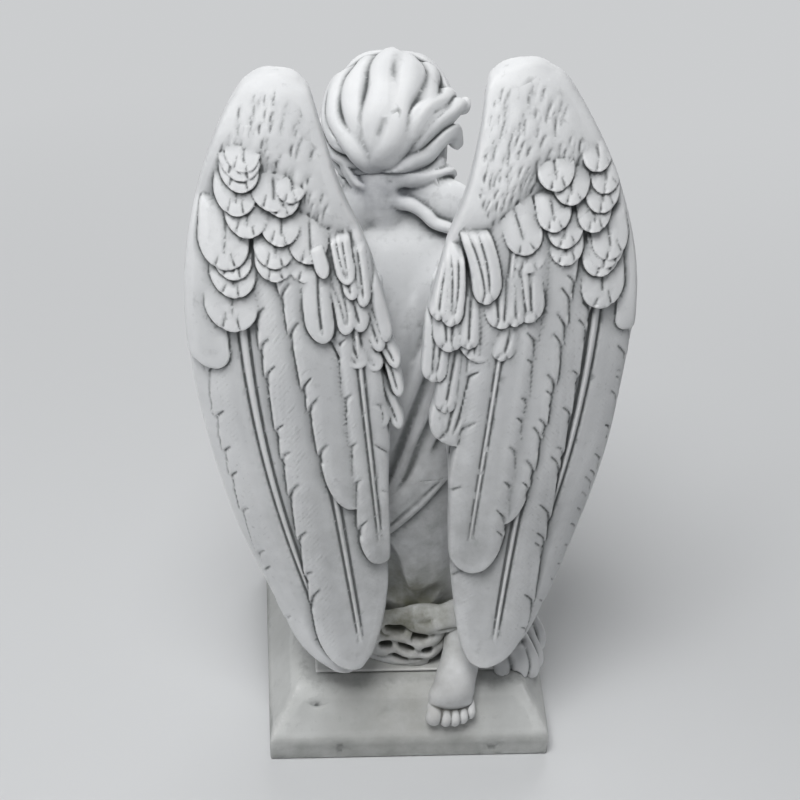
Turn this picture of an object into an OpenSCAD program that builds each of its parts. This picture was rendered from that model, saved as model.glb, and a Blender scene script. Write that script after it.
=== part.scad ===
// Kneeling angel garden figure on a square plinth, cast in sections and bonded on steel dowels.
// Millimetres, +Z up. The origin is the centre of the plinth's underside and the figure looks
// along -Y, so the backs of the wings face +Y. The figure's right-hand side is at -X.

/* [Plinth] */
// Width of the plinth along its rear edge
plinth_rear_w = 240; // [230:1:300]
// Width of the plinth along its front edge
plinth_front_w = 256; // [236:1:310]
// Depth of the plinth from front to rear
plinth_d = 250; // [240:1:300]
// Height of the upright band around the foot of the plinth
band_h = 22; // [16:1:40]
// Height of the sloped shoulder above the band
slope_h = 40; // [34:1:60]
// How far the shoulder slopes inwards
slope_run = 25; // [12:1:30]
// Wall thickness of the hollow plinth casting
plinth_wall = 12; // [9:1:16]

/* [Base plate] */
// Thickness of the plate that closes the plinth from below
plate_t = 4; // [3:0.5:6]
// Gap between the plate's edge and the plinth's wall
plate_gap = 0.5; // [0.3:0.1:1]
// Radius of the four posts that the plate is screwed to
post_r = 8; // [6:0.5:11]
// Shank diameter of the plate screws
screw_d = 4; // [3:0.5:5]
// Length of the plate screws under their heads
screw_len = 14; // [10:1:20]

/* [Ground slab] */
// Thickness of the thin slab that the figure kneels on
slab_t = 4; // [3:0.5:8]
// Width of the ledge that the plinth leaves around the slab
slab_ledge = 14; // [8:1:18]

/* [Figure] */
// Height of the figure from the slab to the top of the right wing
figure_h = 546; // [460:1:660]
// Greatest thickness of a wing blade
wing_t = 24; // [16:1:30]

/* [Joints] */
// Diameter of the threaded rod that ties plinth, slab, gown and torso together
rod_d = 10; // [8:1:12]
// Radial clearance around the rod
rod_gap = 0.4; // [0.2:0.1:0.8]
// Diameter of the steel dowels in the bonded joints
pin_d = 6; // [5:0.5:8]
// Radial clearance around a dowel
pin_gap = 0.15; // [0.1:0.05:0.3]
// How far a dowel reaches into each of its two castings
pin_depth = 16; // [12:1:18]
// Radius of the rounded root that carries a wing
root_r = 15; // [12:1:17]
// Gap between a wing's root and the walls of its socket
root_gap = 0.5; // [0.3:0.1:1]

/* [Hidden] */

stone = [0.86, 0.87, 0.87];
stone_shade = [0.76, 0.77, 0.76];
steel = [0.62, 0.64, 0.66];

plinth_h = band_h + slope_h;
slab_top = plinth_h + slab_t;
edge_y = plinth_d / 2 - slope_run;
sides = 16;          // sides of the rings that limbs and gown are lofted through

// The figure is drawn at its nominal size and carried to the real plinth by at():
// it grows from the plinth's rear edge, which its right foot hangs over.
drawn_h = 546;
drawn_edge_y = 100;
drawn_slab_top = 66;
k = figure_h / drawn_h;
function at(p) = [k * p.x, edge_y + k * (p.y - drawn_edge_y), slab_top + k * (p.z - drawn_slab_top)];

rod_at = at([4, 36, 0]);
rod_top = at([0, 0, 372]).z;
rod_bottom = plinth_h - plinth_wall - 14;
washer_r = 14;
washer_t = 2.5;
washer_gap = 0.25;
nut_h = 8;
nut_across_corners = 18.9 * rod_d / 10;
thread_gap = 0.05;   // radial clearance in a threaded hole
plate_hole_gap = 0.3; // radial clearance around a plate screw and its head
screw_head_h = 2.2;
screw_recess = 0.2;  // how far the screw heads lie above the ground
nut_depth = plinth_h - plinth_wall;
post_inset = plinth_wall + post_r + 4;
big = 1000;          // larger than the whole figure

waist_z = at([0, 0, 262]).z;
ankle_y = at([0, 60, 0]).y;
shoulder_r_x = at([-56, 0, 0]).x;
shoulder_l_x = at([84, 0, 0]).x;
neck_at = at([19, 2, 488]);
neck_lean = 35;      // degrees that the neck leans forward
seat_y = at([0, 46, 0]).y;
dowel_slack = 1;     // a bore is this much deeper than its dowel
bore_r = pin_d / 2 + pin_gap;
bore_depth = pin_depth + dowel_slack;

// ---------------------------------------------------------------- curves and lofts

function unit(v) = v / norm(v);

// A smooth run through stations, with n steps between each pair
function spline(a, b, c, d, t) =
  0.5 * (2 * b + (c - a) * t + (2 * a - 5 * b + 4 * c - d) * t * t + (3 * b - a - 3 * c + d) * t * t * t);
function smooth(s, n) = let (last = len(s) - 1) [
  for (i = [0 : last - 1]) for (j = [0 : n - 1])
    spline(s[max(i - 1, 0)], s[i], s[i + 1], s[min(i + 2, last)], j / n),
  s[last]
];

// A closed skin through rings of equally many points, each wound the same way
module skin(rings) {
  m = len(rings[0]);
  n = len(rings);
  polyhedron(
    points = [for (r = rings) for (p = r) p],
    faces = concat(
      [[for (j = [0 : m - 1]) j]],
      [for (i = [0 : n - 2]) for (j = [0 : m - 1])
        [i * m + j, (i + 1) * m + j, (i + 1) * m + (j + 1) % m]],
      [for (i = [0 : n - 2]) for (j = [0 : m - 1])
        [i * m + j, (i + 1) * m + (j + 1) % m, i * m + (j + 1) % m]],
      [[for (j = [m - 1 : -1 : 0]) (n - 1) * m + j]]
    )
  );
}

// Level rings: each station is [z, centre x, centre y, half width, half depth]
module level_loft(stations, steps) {
  skin([for (s = smooth(stations, steps)) let (c = at([s[1], s[2], s[0]]))
    [for (j = [0 : sides - 1]) let (a = 360 * (j + 0.5) / sides)
      c + k * [s[3] * cos(a), s[4] * sin(a), 0]]]);
}

// A limb with rounded ends: each station is [x, y, z, half width, half thickness],
// and the width lies across both the limb and the direction given by face
module limb(stations, face = [0, 0, 1], steps = 2) {
  path = smooth(stations, steps);
  last = len(path) - 1;
  rings = concat(
    [for (c = [[0.95, 0.35], [0.6, 0.8]]) limb_end(path[0], path[0] - path[1], c, face, -1)],
    [for (i = [0 : last])
      limb_ring(path[i], path[min(i + 1, last)] - path[max(i - 1, 0)], face, 1)],
    [for (c = [[0.6, 0.8], [0.95, 0.35]])
      limb_end(path[last], path[last] - path[last - 1], c, face, 1)]
  );
  skin([for (r = rings) [for (p = r) at(p)]]);
}
function place(s) = [s[0], s[1], s[2]];
function limb_ring(s, dir, face, size) =
  let (w = unit(place(dir)), u = unit(cross(face, w)), v = cross(w, u))
  [for (j = [0 : sides - 1]) let (a = 360 * (j + 0.5) / sides)
    place(s) + size * (s[3] * cos(a) * u + s[4] * sin(a) * v)];
function limb_end(s, out, c, face, way) =
  let (o = unit(place(out)), r = min(s[3], s[4]),
    moved = [s[0] + o.x * r * c[0], s[1] + o.y * r * c[0], s[2] + o.z * r * c[0], s[3], s[4]])
  limb_ring(moved, way * [out.x, out.y, out.z, 0, 0], face, c[1]);

// A straight round piece from a point along +Y or +X
module along_y(p, r, len) { translate(p) rotate([-90, 0, 0]) cylinder(r = r, h = len, $fn = 48); }
module along_x(p, r, len) { translate(p) rotate([0, 90, 0]) cylinder(r = r, h = len, $fn = 48); }
// The hole that the tie rod runs through, from the ground up to a height
module rod_hole(top) {
  translate([rod_at.x, rod_at.y, -1]) cylinder(r = rod_d / 2 + rod_gap, h = top + 1, $fn = 48);
}

// ---------------------------------------------------------------- plinth and its fittings

// The plinth's plan, which narrows towards the rear, drawn in by inset
function plan(inset) = [
  [-plinth_front_w / 2 + inset, -plinth_d / 2 + inset],
  [plinth_front_w / 2 - inset, -plinth_d / 2 + inset],
  [plinth_rear_w / 2 - inset, plinth_d / 2 - inset],
  [-plinth_rear_w / 2 + inset, plinth_d / 2 - inset]
];
// An upright block on that plan
module block(inset, z0, z1) {
  translate([0, 0, z0]) linear_extrude(height = z1 - z0) polygon(plan(inset));
}
// The band with the sloped shoulder on it, all drawn in by inset
module shouldered(inset, z0, z1) {
  skin([
    [for (p = plan(inset)) [p.x, p.y, z0]],
    [for (p = plan(inset)) [p.x, p.y, band_h]],
    [for (p = plan(inset + slope_run * (z1 - band_h) / slope_h)) [p.x, p.y, z1]]
  ]);
}
function posts() = plan(post_inset);

module plinth() {
  color(stone_shade) difference() {
    union() {
      difference() {
        shouldered(0, 0, plinth_h);
        shouldered(plinth_wall, -1, plinth_h - plinth_wall);
      }
      intersection() {
        for (p = posts()) translate([p.x, p.y, plate_t]) cylinder(r = post_r, h = plinth_h, $fn = 48);
        shouldered(plinth_wall / 2, 0, plinth_h - plinth_wall / 2);
      }
    }
    for (p = posts())
      translate([p.x, p.y, 0]) cylinder(r = screw_d / 2 + thread_gap, h = screw_len + 3, $fn = 32);
    rod_hole(plinth_h + 1);
  }
}

module base_plate() {
  color(stone_shade) difference() {
    block(plinth_wall + plate_gap, 0, plate_t);
    for (p = posts()) {
      translate([p.x, p.y, -1]) cylinder(r = screw_d / 2 + plate_hole_gap, h = plate_t + 2, $fn = 32);
      translate([p.x, p.y, -1]) cylinder(r = screw_d + plate_hole_gap, h = screw_head_h + 1, $fn = 32);
    }
  }
}
module base_plate_screws() {
  color(steel) for (p = posts()) translate([p.x, p.y, 0]) difference() {
    union() {
      translate([0, 0, screw_recess]) cylinder(r = screw_d, h = screw_head_h - screw_recess, $fn = 48);
      translate([0, 0, screw_recess]) cylinder(d = screw_d, h = screw_len, $fn = 32);
    }
    // cross recess for a screwdriver
    for (a = [0, 90]) rotate(a) translate([-screw_d * 0.6, -0.4, 0]) cube([screw_d * 1.2, 0.8, 1.2]);
  }
}

module slab_form() { block(slope_run + slab_ledge, plinth_h, slab_top); }
module ground_slab() {
  color(stone) difference() {
    slab_form();
    rod_hole(slab_top + 1);
  }
}

module armature_rod() {
  color(steel) translate([rod_at.x, rod_at.y, rod_bottom])
    cylinder(d = rod_d, h = rod_top - rod_bottom, $fn = 48);
}
module armature_washer() {
  color(steel) translate([rod_at.x, rod_at.y, nut_depth - washer_t]) difference() {
    cylinder(r = washer_r, h = washer_t, $fn = 64);
    translate([0, 0, -1]) cylinder(r = rod_d / 2 + washer_gap, h = washer_t + 2, $fn = 48);
  }
}
module armature_nut() {
  color(steel) translate([rod_at.x, rod_at.y, nut_depth - washer_t - nut_h]) difference() {
    cylinder(d = nut_across_corners, h = nut_h, $fn = 6);
    translate([0, 0, -1]) cylinder(r = rod_d / 2 + thread_gap, h = nut_h + 2, $fn = 48);
  }
}

// ---------------------------------------------------------------- gown and feet

// Where the right-hand edge above the plinth's shoulder lies, at a depth y
function right_edge_x(y) =
  -(plinth_rear_w + (plinth_front_w - plinth_rear_w) * (plinth_d / 2 - y) / plinth_d) / 2 + slope_run;
// Drapery that runs off the slab at the right and hangs over that edge, wherever it lies
module hem_spill() {
  y = 66;
  drawn_edge_x = -94;
  drop = (right_edge_x(at([0, y, 0]).y) - drawn_edge_x) / k;
  limb([
    [-40, 20, 96, 26, 22], [-66 + drop / 2, 44, 84, 24, 17], [-90 + drop, 62, 74, 22, 11],
    [-106 + drop, y + 2, 60, 20, 8], [-112 + drop, y + 2, 46, 17, 6]
  ]);
}
// Everything that the gown and the feet rest on
module ground() {
  shouldered(0, 0, plinth_h);
  slab_form();
}

module left_foot_form() {
  limb([[46, -42, 83, 14, 14], [46, -66, 78, 16, 13], [46, -86, 73, 18, 9], [46, -96, 71, 16, 7]]);
}
foot_joint_r = at([-40, 60, 92]);
foot_joint_l = at([46, -48, 81]);

// The space behind the ankle joint, which belongs to the right foot
module ankle_cut() {
  near = at([-66, 60, 60]);
  far = at([-14, 160, 130]);
  translate(near) cube(far - near);
}

module gown_skirt() {
  color(stone) difference() {
    union() {
      level_loft([
        [66, -2, -8, 74, 66], [90, -1, -4, 69, 63], [140, 1, 8, 62, 56],
        [190, 2, 24, 61, 48], [230, 3, 35, 57, 39], [262, 4, 38, 45, 34]
      ], 2);
      // left thigh and shin
      limb([[30, 28, 226, 34, 32], [42, -38, 222, 32, 29], [48, -82, 213, 26, 26]]);
      limb([[48, -80, 210, 25, 25], [47, -68, 150, 26, 26], [46, -48, 92, 30, 26]], [0, 1, 0]);
      // right thigh and shin
      limb([[-28, 14, 190, 36, 32], [-38, -40, 128, 31, 28], [-42, -58, 96, 26, 25]], [0, 1, 0]);
      limb([[-42, -20, 92, 25, 24], [-41, 30, 91, 22, 21], [-40, 62, 91, 17, 16]]);
      // cloth that falls between the knees
      limb([[18, -22, 214, 44, 26], [14, -30, 150, 44, 30], [8, -34, 88, 48, 34]], [0, 1, 0]);
      hem_spill();
    }
    ground();
    left_foot_form();
    ankle_cut();
    translate([-big / 2, -big / 2, waist_z]) cube(big);
    rod_hole(waist_z + 1);
    along_y(foot_joint_r - [0, bore_depth, 0], bore_r, bore_depth + 20);
    along_y(foot_joint_l - [0, pin_depth, 0], bore_r, pin_depth + bore_depth);
  }
}

module right_foot() {
  color(stone) difference() {
    intersection() {
      union() {
        limb([[-41, 40, 92, 15, 15], [-40, 70, 94, 17, 17], [-38, 92, 88, 15, 14],
          [-34, 110, 68, 20, 11], [-31, 122, 46, 19, 7.5], [-30, 125, 40, 17, 6.5]], [0, 0.5, 1]);
        limb([[-41, 62, 94, 16, 14], [-40, 76, 104, 14, 13]], [0, 1, 0]);                // heel
      }
      ankle_space();
    }
    ground();
    along_y(foot_joint_r - [0, 1, 0], bore_r, bore_depth + 1);
  }
}
module ankle_space() {
  near = at([-120, 60, 0]);
  translate(near) cube(at([60, 200, 160]) - near);
}
module left_foot() {
  color(stone) difference() {
    left_foot_form();
    ground();
    along_y(foot_joint_l - [0, bore_depth, 0], bore_r, bore_depth + 20);
  }
}
module foot_pins() {
  color(steel) {
    along_y(foot_joint_r - [0, pin_depth, 0], pin_d / 2, 2 * pin_depth);
    along_y(foot_joint_l - [0, pin_depth, 0], pin_d / 2, 2 * pin_depth);
  }
}

// ---------------------------------------------------------------- torso, arms and head

// The part of space above the slanting neck joint
module above_neck_joint() {
  translate(neck_at) rotate([neck_lean, 0, 0]) translate([-big / 2, -big / 2, 0]) cube(big);
}
module neck_bore(r, below, above) {
  translate(neck_at) rotate([neck_lean, 0, 0]) translate([0, 0, -below])
    cylinder(r = r, h = below + above, $fn = 48);
}
shoulder_r = at([-56, 14, 440]);
shoulder_l = at([84, 14, 440]);

module torso_form() {
  difference() {
    level_loft([
      [262, 4, 38, 45, 34], [290, 5, 36, 43, 32], [330, 7, 33, 50, 36], [375, 10, 28, 60, 40],
      [415, 12, 24, 68, 39], [445, 14, 20, 74, 34], [462, 15, 18, 66, 29], [476, 17, 13, 36, 24],
      [488, 18, 6, 22, 21], [510, 19, -6, 20, 20]
    ], 2);
    above_neck_joint();
    translate([shoulder_r_x - big, -big / 2, 0]) cube(big);
    translate([shoulder_l_x, -big / 2, 0]) cube(big);
  }
}
module torso() {
  color(stone) difference() {
    torso_form();
    wing_root(root_r_x, root_gap);
    wing_root(root_l_x, root_gap);
    wing_dowels(bore_r, bore_depth);
    neck_bore(bore_r, bore_depth, 5);
    along_x(shoulder_r - [1, 0, 0], bore_r, bore_depth + 1);
    along_x(shoulder_l - [bore_depth, 0, 0], bore_r, bore_depth + 1);
    rod_hole(rod_top + 2);
  }
}

module right_arm() {
  color(stone) difference() {
    limb([
      [-50, 16, 441, 24, 24], [-66, 6, 412, 20, 20], [-66, -24, 362, 18, 18], [-56, -50, 330, 17, 17],
      [-24, -76, 292, 14, 14], [8, -98, 258, 11, 10], [34, -108, 251, 15, 7], [54, -112, 250, 11, 6]
    ]);
    torso_form();
    along_x(shoulder_r - [bore_depth, 0, 0], bore_r, bore_depth + 20);
  }
}
module left_arm() {
  color(stone) difference() {
    limb([
      [78, 16, 441, 24, 24], [96, 6, 412, 20, 20], [104, -22, 362, 18, 18], [104, -46, 332, 17, 17],
      [88, -74, 302, 14, 14], [66, -96, 278, 11, 10], [46, -106, 268, 15, 7], [28, -110, 266, 11, 6]
    ]);
    torso_form();
    along_x(shoulder_l - [20, 0, 0], bore_r, bore_depth + 20);
  }
}
module shoulder_pins() {
  color(steel) {
    along_x(shoulder_r - [pin_depth, 0, 0], pin_d / 2, 2 * pin_depth);
    along_x(shoulder_l - [pin_depth, 0, 0], pin_d / 2, 2 * pin_depth);
  }
}

module head() {
  color(stone) difference() {
    intersection() {
      union() {
        hull() {
          translate(at([24, -6, 545])) sphere(r = 41 * k, $fn = 28);
          translate(at([20, -32, 520])) sphere(r = 27 * k, $fn = 28);
          translate(at([19, -42, 498])) sphere(r = 14 * k, $fn = 28);
        }
        // neck
        limb([[18, 6, 476, 21, 21], [20, -6, 500, 20, 20], [22, -12, 520, 20, 20]], [0, 1, 0]);
        // knot of hair at the nape
        limb([[26, 10, 545, 26, 24], [27, 24, 522, 20, 15], [25, 24, 505, 13, 10]], [0, 1, 0]);
        // two locks blown to the right
        limb([[2, -8, 554, 18, 18], [-12, -2, 552, 12, 12], [-26, 2, 552, 6, 6]], [0, 1, 0]);
        limb([[2, -6, 528, 18, 16], [-10, 4, 520, 12, 11], [-22, 10, 516, 6, 6]], [0, 1, 0]);
      }
      above_neck_joint();
    }
    neck_bore(bore_r, 5, bore_depth);
  }
}
module neck_pin() { color(steel) neck_bore(pin_d / 2, pin_depth, pin_depth); }

// ---------------------------------------------------------------- wings

// The round-ended root of a wing, or with a gap around it the socket that it seats in
root_low = 392;
root_high = 432;
root_r_x = -20;
root_l_x = 44;
root_reach_y = 90;
module wing_root(x, gap) {
  low = at([x, 0, root_low]);
  high = at([x, 0, root_high]);
  r = root_r + gap;
  reach = at([0, root_reach_y, 0]).y - seat_y;
  for (p = [low, high]) along_y([p.x, seat_y, p.z], r, reach);
  translate([low.x - r, seat_y, low.z]) cube([2 * r, reach, high.z - low.z]);
}
// The two dowels of each wing, or their bores, across the seat
module wing_dowels(r, depth) {
  for (x = [root_r_x, root_l_x]) for (z = [root_low, root_high])
    along_y([at([x, 0, z]).x, seat_y - depth, at([x, 0, z]).z], r, 2 * depth);
}

// A wing blade: each station is [z, lower x, higher x, rear y], from the tip up. Across the
// blade, t runs along +X and u runs outwards from the inner edge.
blade_cells = 14;    // cells across the blade
inner_fall = 9;      // how far the blade falls forward at its inner edge
outer_fall = 22;     // and at its outer edge
tip_t = 8;           // thickness at the tip
function blade_rear(s, u) =
  s[3] - inner_fall * pow(max(0, 0.35 - u) / 0.35, 2) - outer_fall * pow(max(0, u - 0.4) / 0.6, 2);
// The blade thickens in tiers: flight feathers below, then two tiers of coverts
function tier(z, u) = let (h = z - 300 + 90 * u) (h > 0 ? 3 : 0) + (h > 90 ? 3 : 0);
function blade_thickness(s, u) = let (edge = 0.35 + 0.65 * sqrt(max(0, 4 * u * (1 - u))))
  edge * (tip_t + (wing_t / k - tip_t) * pow(min(1, (s[0] - 95) / 400), 0.8));
function blade_point(s, t, left, rear) = let (u = left ? t : 1 - t)
  [s[1] + (s[2] - s[1]) * t, blade_rear(s, u) + (rear ? tier(s[0], u) : -blade_thickness(s, u)), s[0]];
module blade(stations, left) {
  skin([for (s = smooth(stations, 3)) concat(
    [for (i = [0 : blade_cells]) at(blade_point(s, i / blade_cells, left, false))],
    [for (i = [blade_cells : -1 : 0]) at(blade_point(s, i / blade_cells, left, true))]
  )]);
}
module wing(stations, root_x, left) {
  color(stone) difference() {
    union() {
      blade(stations, left);
      wing_root(root_x, 0);
    }
    wing_dowels(bore_r, bore_depth);
  }
}
module left_wing() {
  wing([
    [95, 50, 62, 126], [118, 34, 94, 120], [160, 24, 118, 114], [220, 20, 142, 110],
    [290, 20, 160, 108], [360, 20, 172, 106], [420, 26, 177, 103], [470, 38, 174, 97],
    [520, 62, 162, 86], [560, 74, 146, 70], [588, 84, 132, 55], [600, 94, 122, 48], [605, 104, 112, 45]
  ], root_l_x, true);
}
module right_wing() {
  wing([
    [102, -74, -62, 124], [124, -98, -44, 120], [160, -114, -34, 114], [220, -134, -28, 110],
    [290, -148, -20, 108], [360, -156, -8, 106], [420, -160, 0, 103], [470, -154, -10, 97],
    [520, -138, -28, 86], [560, -118, -36, 70], [592, -97, -40, 54], [606, -84, -53, 46],
    [612, -74, -64, 43]
  ], root_r_x, false);
}
module wing_pins() { color(steel) wing_dowels(pin_d / 2, pin_depth); }

plinth();
base_plate();
base_plate_screws();
ground_slab();
armature_rod();
armature_nut();
armature_washer();
gown_skirt();
right_foot();
left_foot();
foot_pins();
torso();
right_arm();
left_arm();
shoulder_pins();
head();
neck_pin();
left_wing();
right_wing();
wing_pins();
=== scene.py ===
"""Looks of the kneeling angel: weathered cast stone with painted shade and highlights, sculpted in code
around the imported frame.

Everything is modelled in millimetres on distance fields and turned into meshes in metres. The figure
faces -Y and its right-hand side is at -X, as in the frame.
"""

import math

import bpy
import numpy as np
import openvdb
from mathutils import Matrix, Vector


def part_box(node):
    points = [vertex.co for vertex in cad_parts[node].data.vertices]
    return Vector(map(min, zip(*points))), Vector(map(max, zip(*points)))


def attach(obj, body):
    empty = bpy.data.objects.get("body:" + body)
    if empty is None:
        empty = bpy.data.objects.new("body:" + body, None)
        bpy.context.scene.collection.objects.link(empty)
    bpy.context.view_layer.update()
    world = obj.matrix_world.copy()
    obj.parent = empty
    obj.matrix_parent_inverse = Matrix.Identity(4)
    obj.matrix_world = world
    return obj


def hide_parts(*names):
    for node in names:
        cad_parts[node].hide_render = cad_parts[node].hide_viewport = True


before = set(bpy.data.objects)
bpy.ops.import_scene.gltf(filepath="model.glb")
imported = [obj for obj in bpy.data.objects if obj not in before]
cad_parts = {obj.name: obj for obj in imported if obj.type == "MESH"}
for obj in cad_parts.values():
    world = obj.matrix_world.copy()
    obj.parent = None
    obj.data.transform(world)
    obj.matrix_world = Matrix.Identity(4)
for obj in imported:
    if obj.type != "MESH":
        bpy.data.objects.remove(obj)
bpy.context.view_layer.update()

MM = 0.001


# ------------------------------------------------------------------ clay: distance fields on a grid


def smooth_min(a, b, k):
    """Union of two fields with a fillet of about k."""
    h = np.clip(0.5 + 0.5 * (b - a) / k, 0, 1)
    return b + (a - b) * h - k * h * (1 - h)


def ramp(x, low, high):
    """0 below low, 1 above high, smooth between."""
    t = np.clip((x - low) / (high - low), 0, 1)
    return t * t * (3 - 2 * t)


def bump(x, width):
    return np.exp(-((x / width) ** 2))


def curve(points, steps=8):
    """A smooth run through given points; each is a tuple of any length."""
    p = np.array(points, float)
    if len(p) < 3 or steps == 1:
        t = np.linspace(0, 1, steps + 1)[:, None]
        return p[0] * (1 - t) + p[-1] * t if len(p) == 2 else p
    padded = np.vstack([2 * p[0] - p[1], p, 2 * p[-1] - p[-2]])
    out = []
    for i in range(len(p) - 1):
        a, b, c, d = padded[i : i + 4]
        for t in np.arange(steps) / steps:
            out.append(
                0.5 * (2 * b + (c - a) * t + (2 * a - 5 * b + 4 * c - d) * t**2
                       + (3 * b - a - 3 * c + d) * t**3)
            )
    return np.array(out + [p[-1]])


class Clay:
    """A block of clay in millimetres: a field that is negative inside the solid."""

    FAR = 30.0  # what empty space holds, in mm from any surface

    def __init__(self, low, high, voxel):
        self.low, self.voxel = np.array(low, float), voxel
        self.size = np.ceil((np.array(high) - self.low) / voxel).astype(int) + 1
        self.axes = [self.low[i] + voxel * np.arange(self.size[i]) for i in range(3)]
        self.field = np.full(self.size, self.FAR, np.float32)

    def axes_high(self):
        return self.low + self.voxel * (self.size - 1)

    def grid(self):
        """The coordinates of the whole block, shaped so that they spread over it."""
        return [
            a.astype(np.float32).reshape([-1 if k == i else 1 for k in range(3)])
            for i, a in enumerate(self.axes)
        ]

    def window(self, low, high):
        """The slices and coordinates of the part of the block between two corners, or None."""
        cut, coords = [], []
        for i in range(3):
            a = max(int((low[i] - self.low[i]) / self.voxel), 0)
            b = min(int((high[i] - self.low[i]) / self.voxel) + 2, self.size[i])
            if a >= b:
                return None, None
            shape = [1, 1, 1]
            shape[i] = -1
            cut.append(slice(a, b))
            coords.append(self.axes[i][a:b].astype(np.float32).reshape(shape))
        return tuple(cut), coords

    def ellipsoid(self, centre, radii, blend=3.0, turn=(0, 0, 0), carve=False):
        """Adds or carves an ellipsoid; turn is in degrees about X, then Y, then Z."""
        r = np.array(radii, float)
        reach = r.max() + blend + 2 * self.voxel
        c = np.array(centre, float)
        cut, xyz = self.window(c - reach, c + reach)
        if cut is None:
            return
        d = [xyz[i] - np.float32(c[i]) for i in range(3)]
        m = rotation(turn).T.astype(np.float32)
        q = [m[i, 0] * d[0] + m[i, 1] * d[1] + m[i, 2] * d[2] for i in range(3)]
        k0 = np.sqrt(sum((q[i] / r[i]) ** 2 for i in range(3)))
        k1 = np.sqrt(sum((q[i] / r[i] ** 2) ** 2 for i in range(3))) + 1e-6
        self.merge(cut, k0 * (k0 - 1) / k1, blend, carve)

    def merge(self, cut, d, blend, carve=False):
        f = self.field[cut]
        self.field[cut] = -smooth_min(-f, d, blend) if carve else smooth_min(f, d, blend)

    def tube(self, points, blend=3.0, flat=1.0, across=None, carve=False, steps=6):
        """A swept round or flattened tube; each point is (x, y, z, radius).

        flat is the thickness over the width, and across the direction of the thickness.
        """
        self.tube_along(curve(points, steps), blend, flat, across, carve)

    def tube_along(self, path, blend=3.0, flat=1.0, across=None, carve=False):
        n = None if across is None else np.array(across, float) / np.linalg.norm(across)
        for p, q in zip(path[:-1], path[1:]):
            r = max(p[3], q[3])
            reach = r + blend + 2 * self.voxel
            cut, xyz = self.window(np.minimum(p, q)[:3] - reach, np.maximum(p, q)[:3] + reach)
            if cut is None:
                continue
            line = (q - p)[:3]
            length2 = float(line @ line) + 1e-9
            d = [xyz[i] - np.float32(p[i]) for i in range(3)]
            t = np.clip((d[0] * line[0] + d[1] * line[1] + d[2] * line[2]) / length2, 0, 1)
            v = [d[i] - t * np.float32(line[i]) for i in range(3)]
            dist2 = v[0] ** 2 + v[1] ** 2 + v[2] ** 2
            if n is not None and flat != 1.0:
                up = n - line * (n @ line) / length2
                up /= np.linalg.norm(up) + 1e-9
                along = v[0] * up[0] + v[1] * up[1] + v[2] * up[2]
                squeezed = np.sqrt(dist2 + along**2 * (1 / flat**2 - 1))
                radius = p[3] + (q[3] - p[3]) * t
                middle = np.clip(1 - np.abs(along) / radius, 0, 1)
                dist = (squeezed - radius) * (flat + (1 - flat) * middle)
            else:
                dist = np.sqrt(dist2) - (p[3] + (q[3] - p[3]) * t)
            self.merge(cut, dist, blend, carve)

    def stroke(self, points, height, width):
        """Raises (or with a negative height, cuts) a ridge of the surface along a line near it.

        The ridge thins out towards both ends of the line.
        """
        path = curve(points, 6)
        cut, xyz = self.window(path.min(0) - 3 * width, path.max(0) + 3 * width)
        if cut is None:
            return
        best = np.full(np.broadcast_shapes(*(c.shape for c in xyz)), 1e9, np.float32)
        along = np.zeros_like(best)
        last = len(path) - 1
        for i, (p, q) in enumerate(zip(path[:-1], path[1:])):
            line = (q - p)[:3]
            d = [xyz[k] - np.float32(p[k]) for k in range(3)]
            t = np.clip((d[0] * line[0] + d[1] * line[1] + d[2] * line[2]) / (line @ line + 1e-9), 0, 1)
            d2 = sum((d[k] - t * np.float32(line[k])) ** 2 for k in range(3))
            along = np.where(d2 < best, (i + t) / last, along)
            best = np.minimum(best, d2)
        amount = height * np.exp(-best / width**2)
        amount *= np.sin(math.pi * np.clip(along, 0.02, 0.98)) ** 0.6
        self.field[cut] -= amount.astype(np.float32)

    def box_mean(self, values, radius):
        """Mean over a cube, as running sums along each axis."""
        n = max(1, int(round(radius / self.voxel)))
        for axis in range(3):
            padded = np.pad(values, [(n + 1, n) if a == axis else (0, 0) for a in range(3)], mode="edge")
            total = np.cumsum(padded, axis=axis, dtype=np.float32)
            count = values.shape[axis]
            hi = np.take(total, range(2 * n + 1, 2 * n + 1 + count), axis=axis)
            lo = np.take(total, range(0, count), axis=axis)
            values = (hi - lo) / (2 * n + 1)
        return values


def rotation(degrees):
    a, b, c = (math.radians(v) for v in degrees)
    rx = np.array([[1, 0, 0], [0, math.cos(a), -math.sin(a)], [0, math.sin(a), math.cos(a)]])
    ry = np.array([[math.cos(b), 0, math.sin(b)], [0, 1, 0], [-math.sin(b), 0, math.cos(b)]])
    rz = np.array([[math.cos(c), -math.sin(c), 0], [math.sin(c), math.cos(c), 0], [0, 0, 1]])
    return rz @ ry @ rx


def sample(clay, values, points):
    """Values of a grid at points, between the grid's nodes."""
    g = (points - clay.low) / clay.voxel
    i = np.clip(np.floor(g).astype(int), 0, clay.size - 2)
    f = np.clip(g - i, 0, 1)
    out = 0
    for dx in (0, 1):
        for dy in (0, 1):
            for dz in (0, 1):
                w = (f[:, 0] if dx else 1 - f[:, 0]) * (f[:, 1] if dy else 1 - f[:, 1])
                w = w * (f[:, 2] if dz else 1 - f[:, 2])
                out = out + w * values[i[:, 0] + dx, i[:, 1] + dy, i[:, 2] + dz]
    return out


# the stone's colour paints shade by these attributes, darker where more solid lies around a point
SPOTS = (("crevice", 2.2), ("hollow", 7.0))  # attributes of a piece: the fill around each point, within mm
SHARP = 60  # degrees between faces from which an edge isn't smoothed


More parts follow.
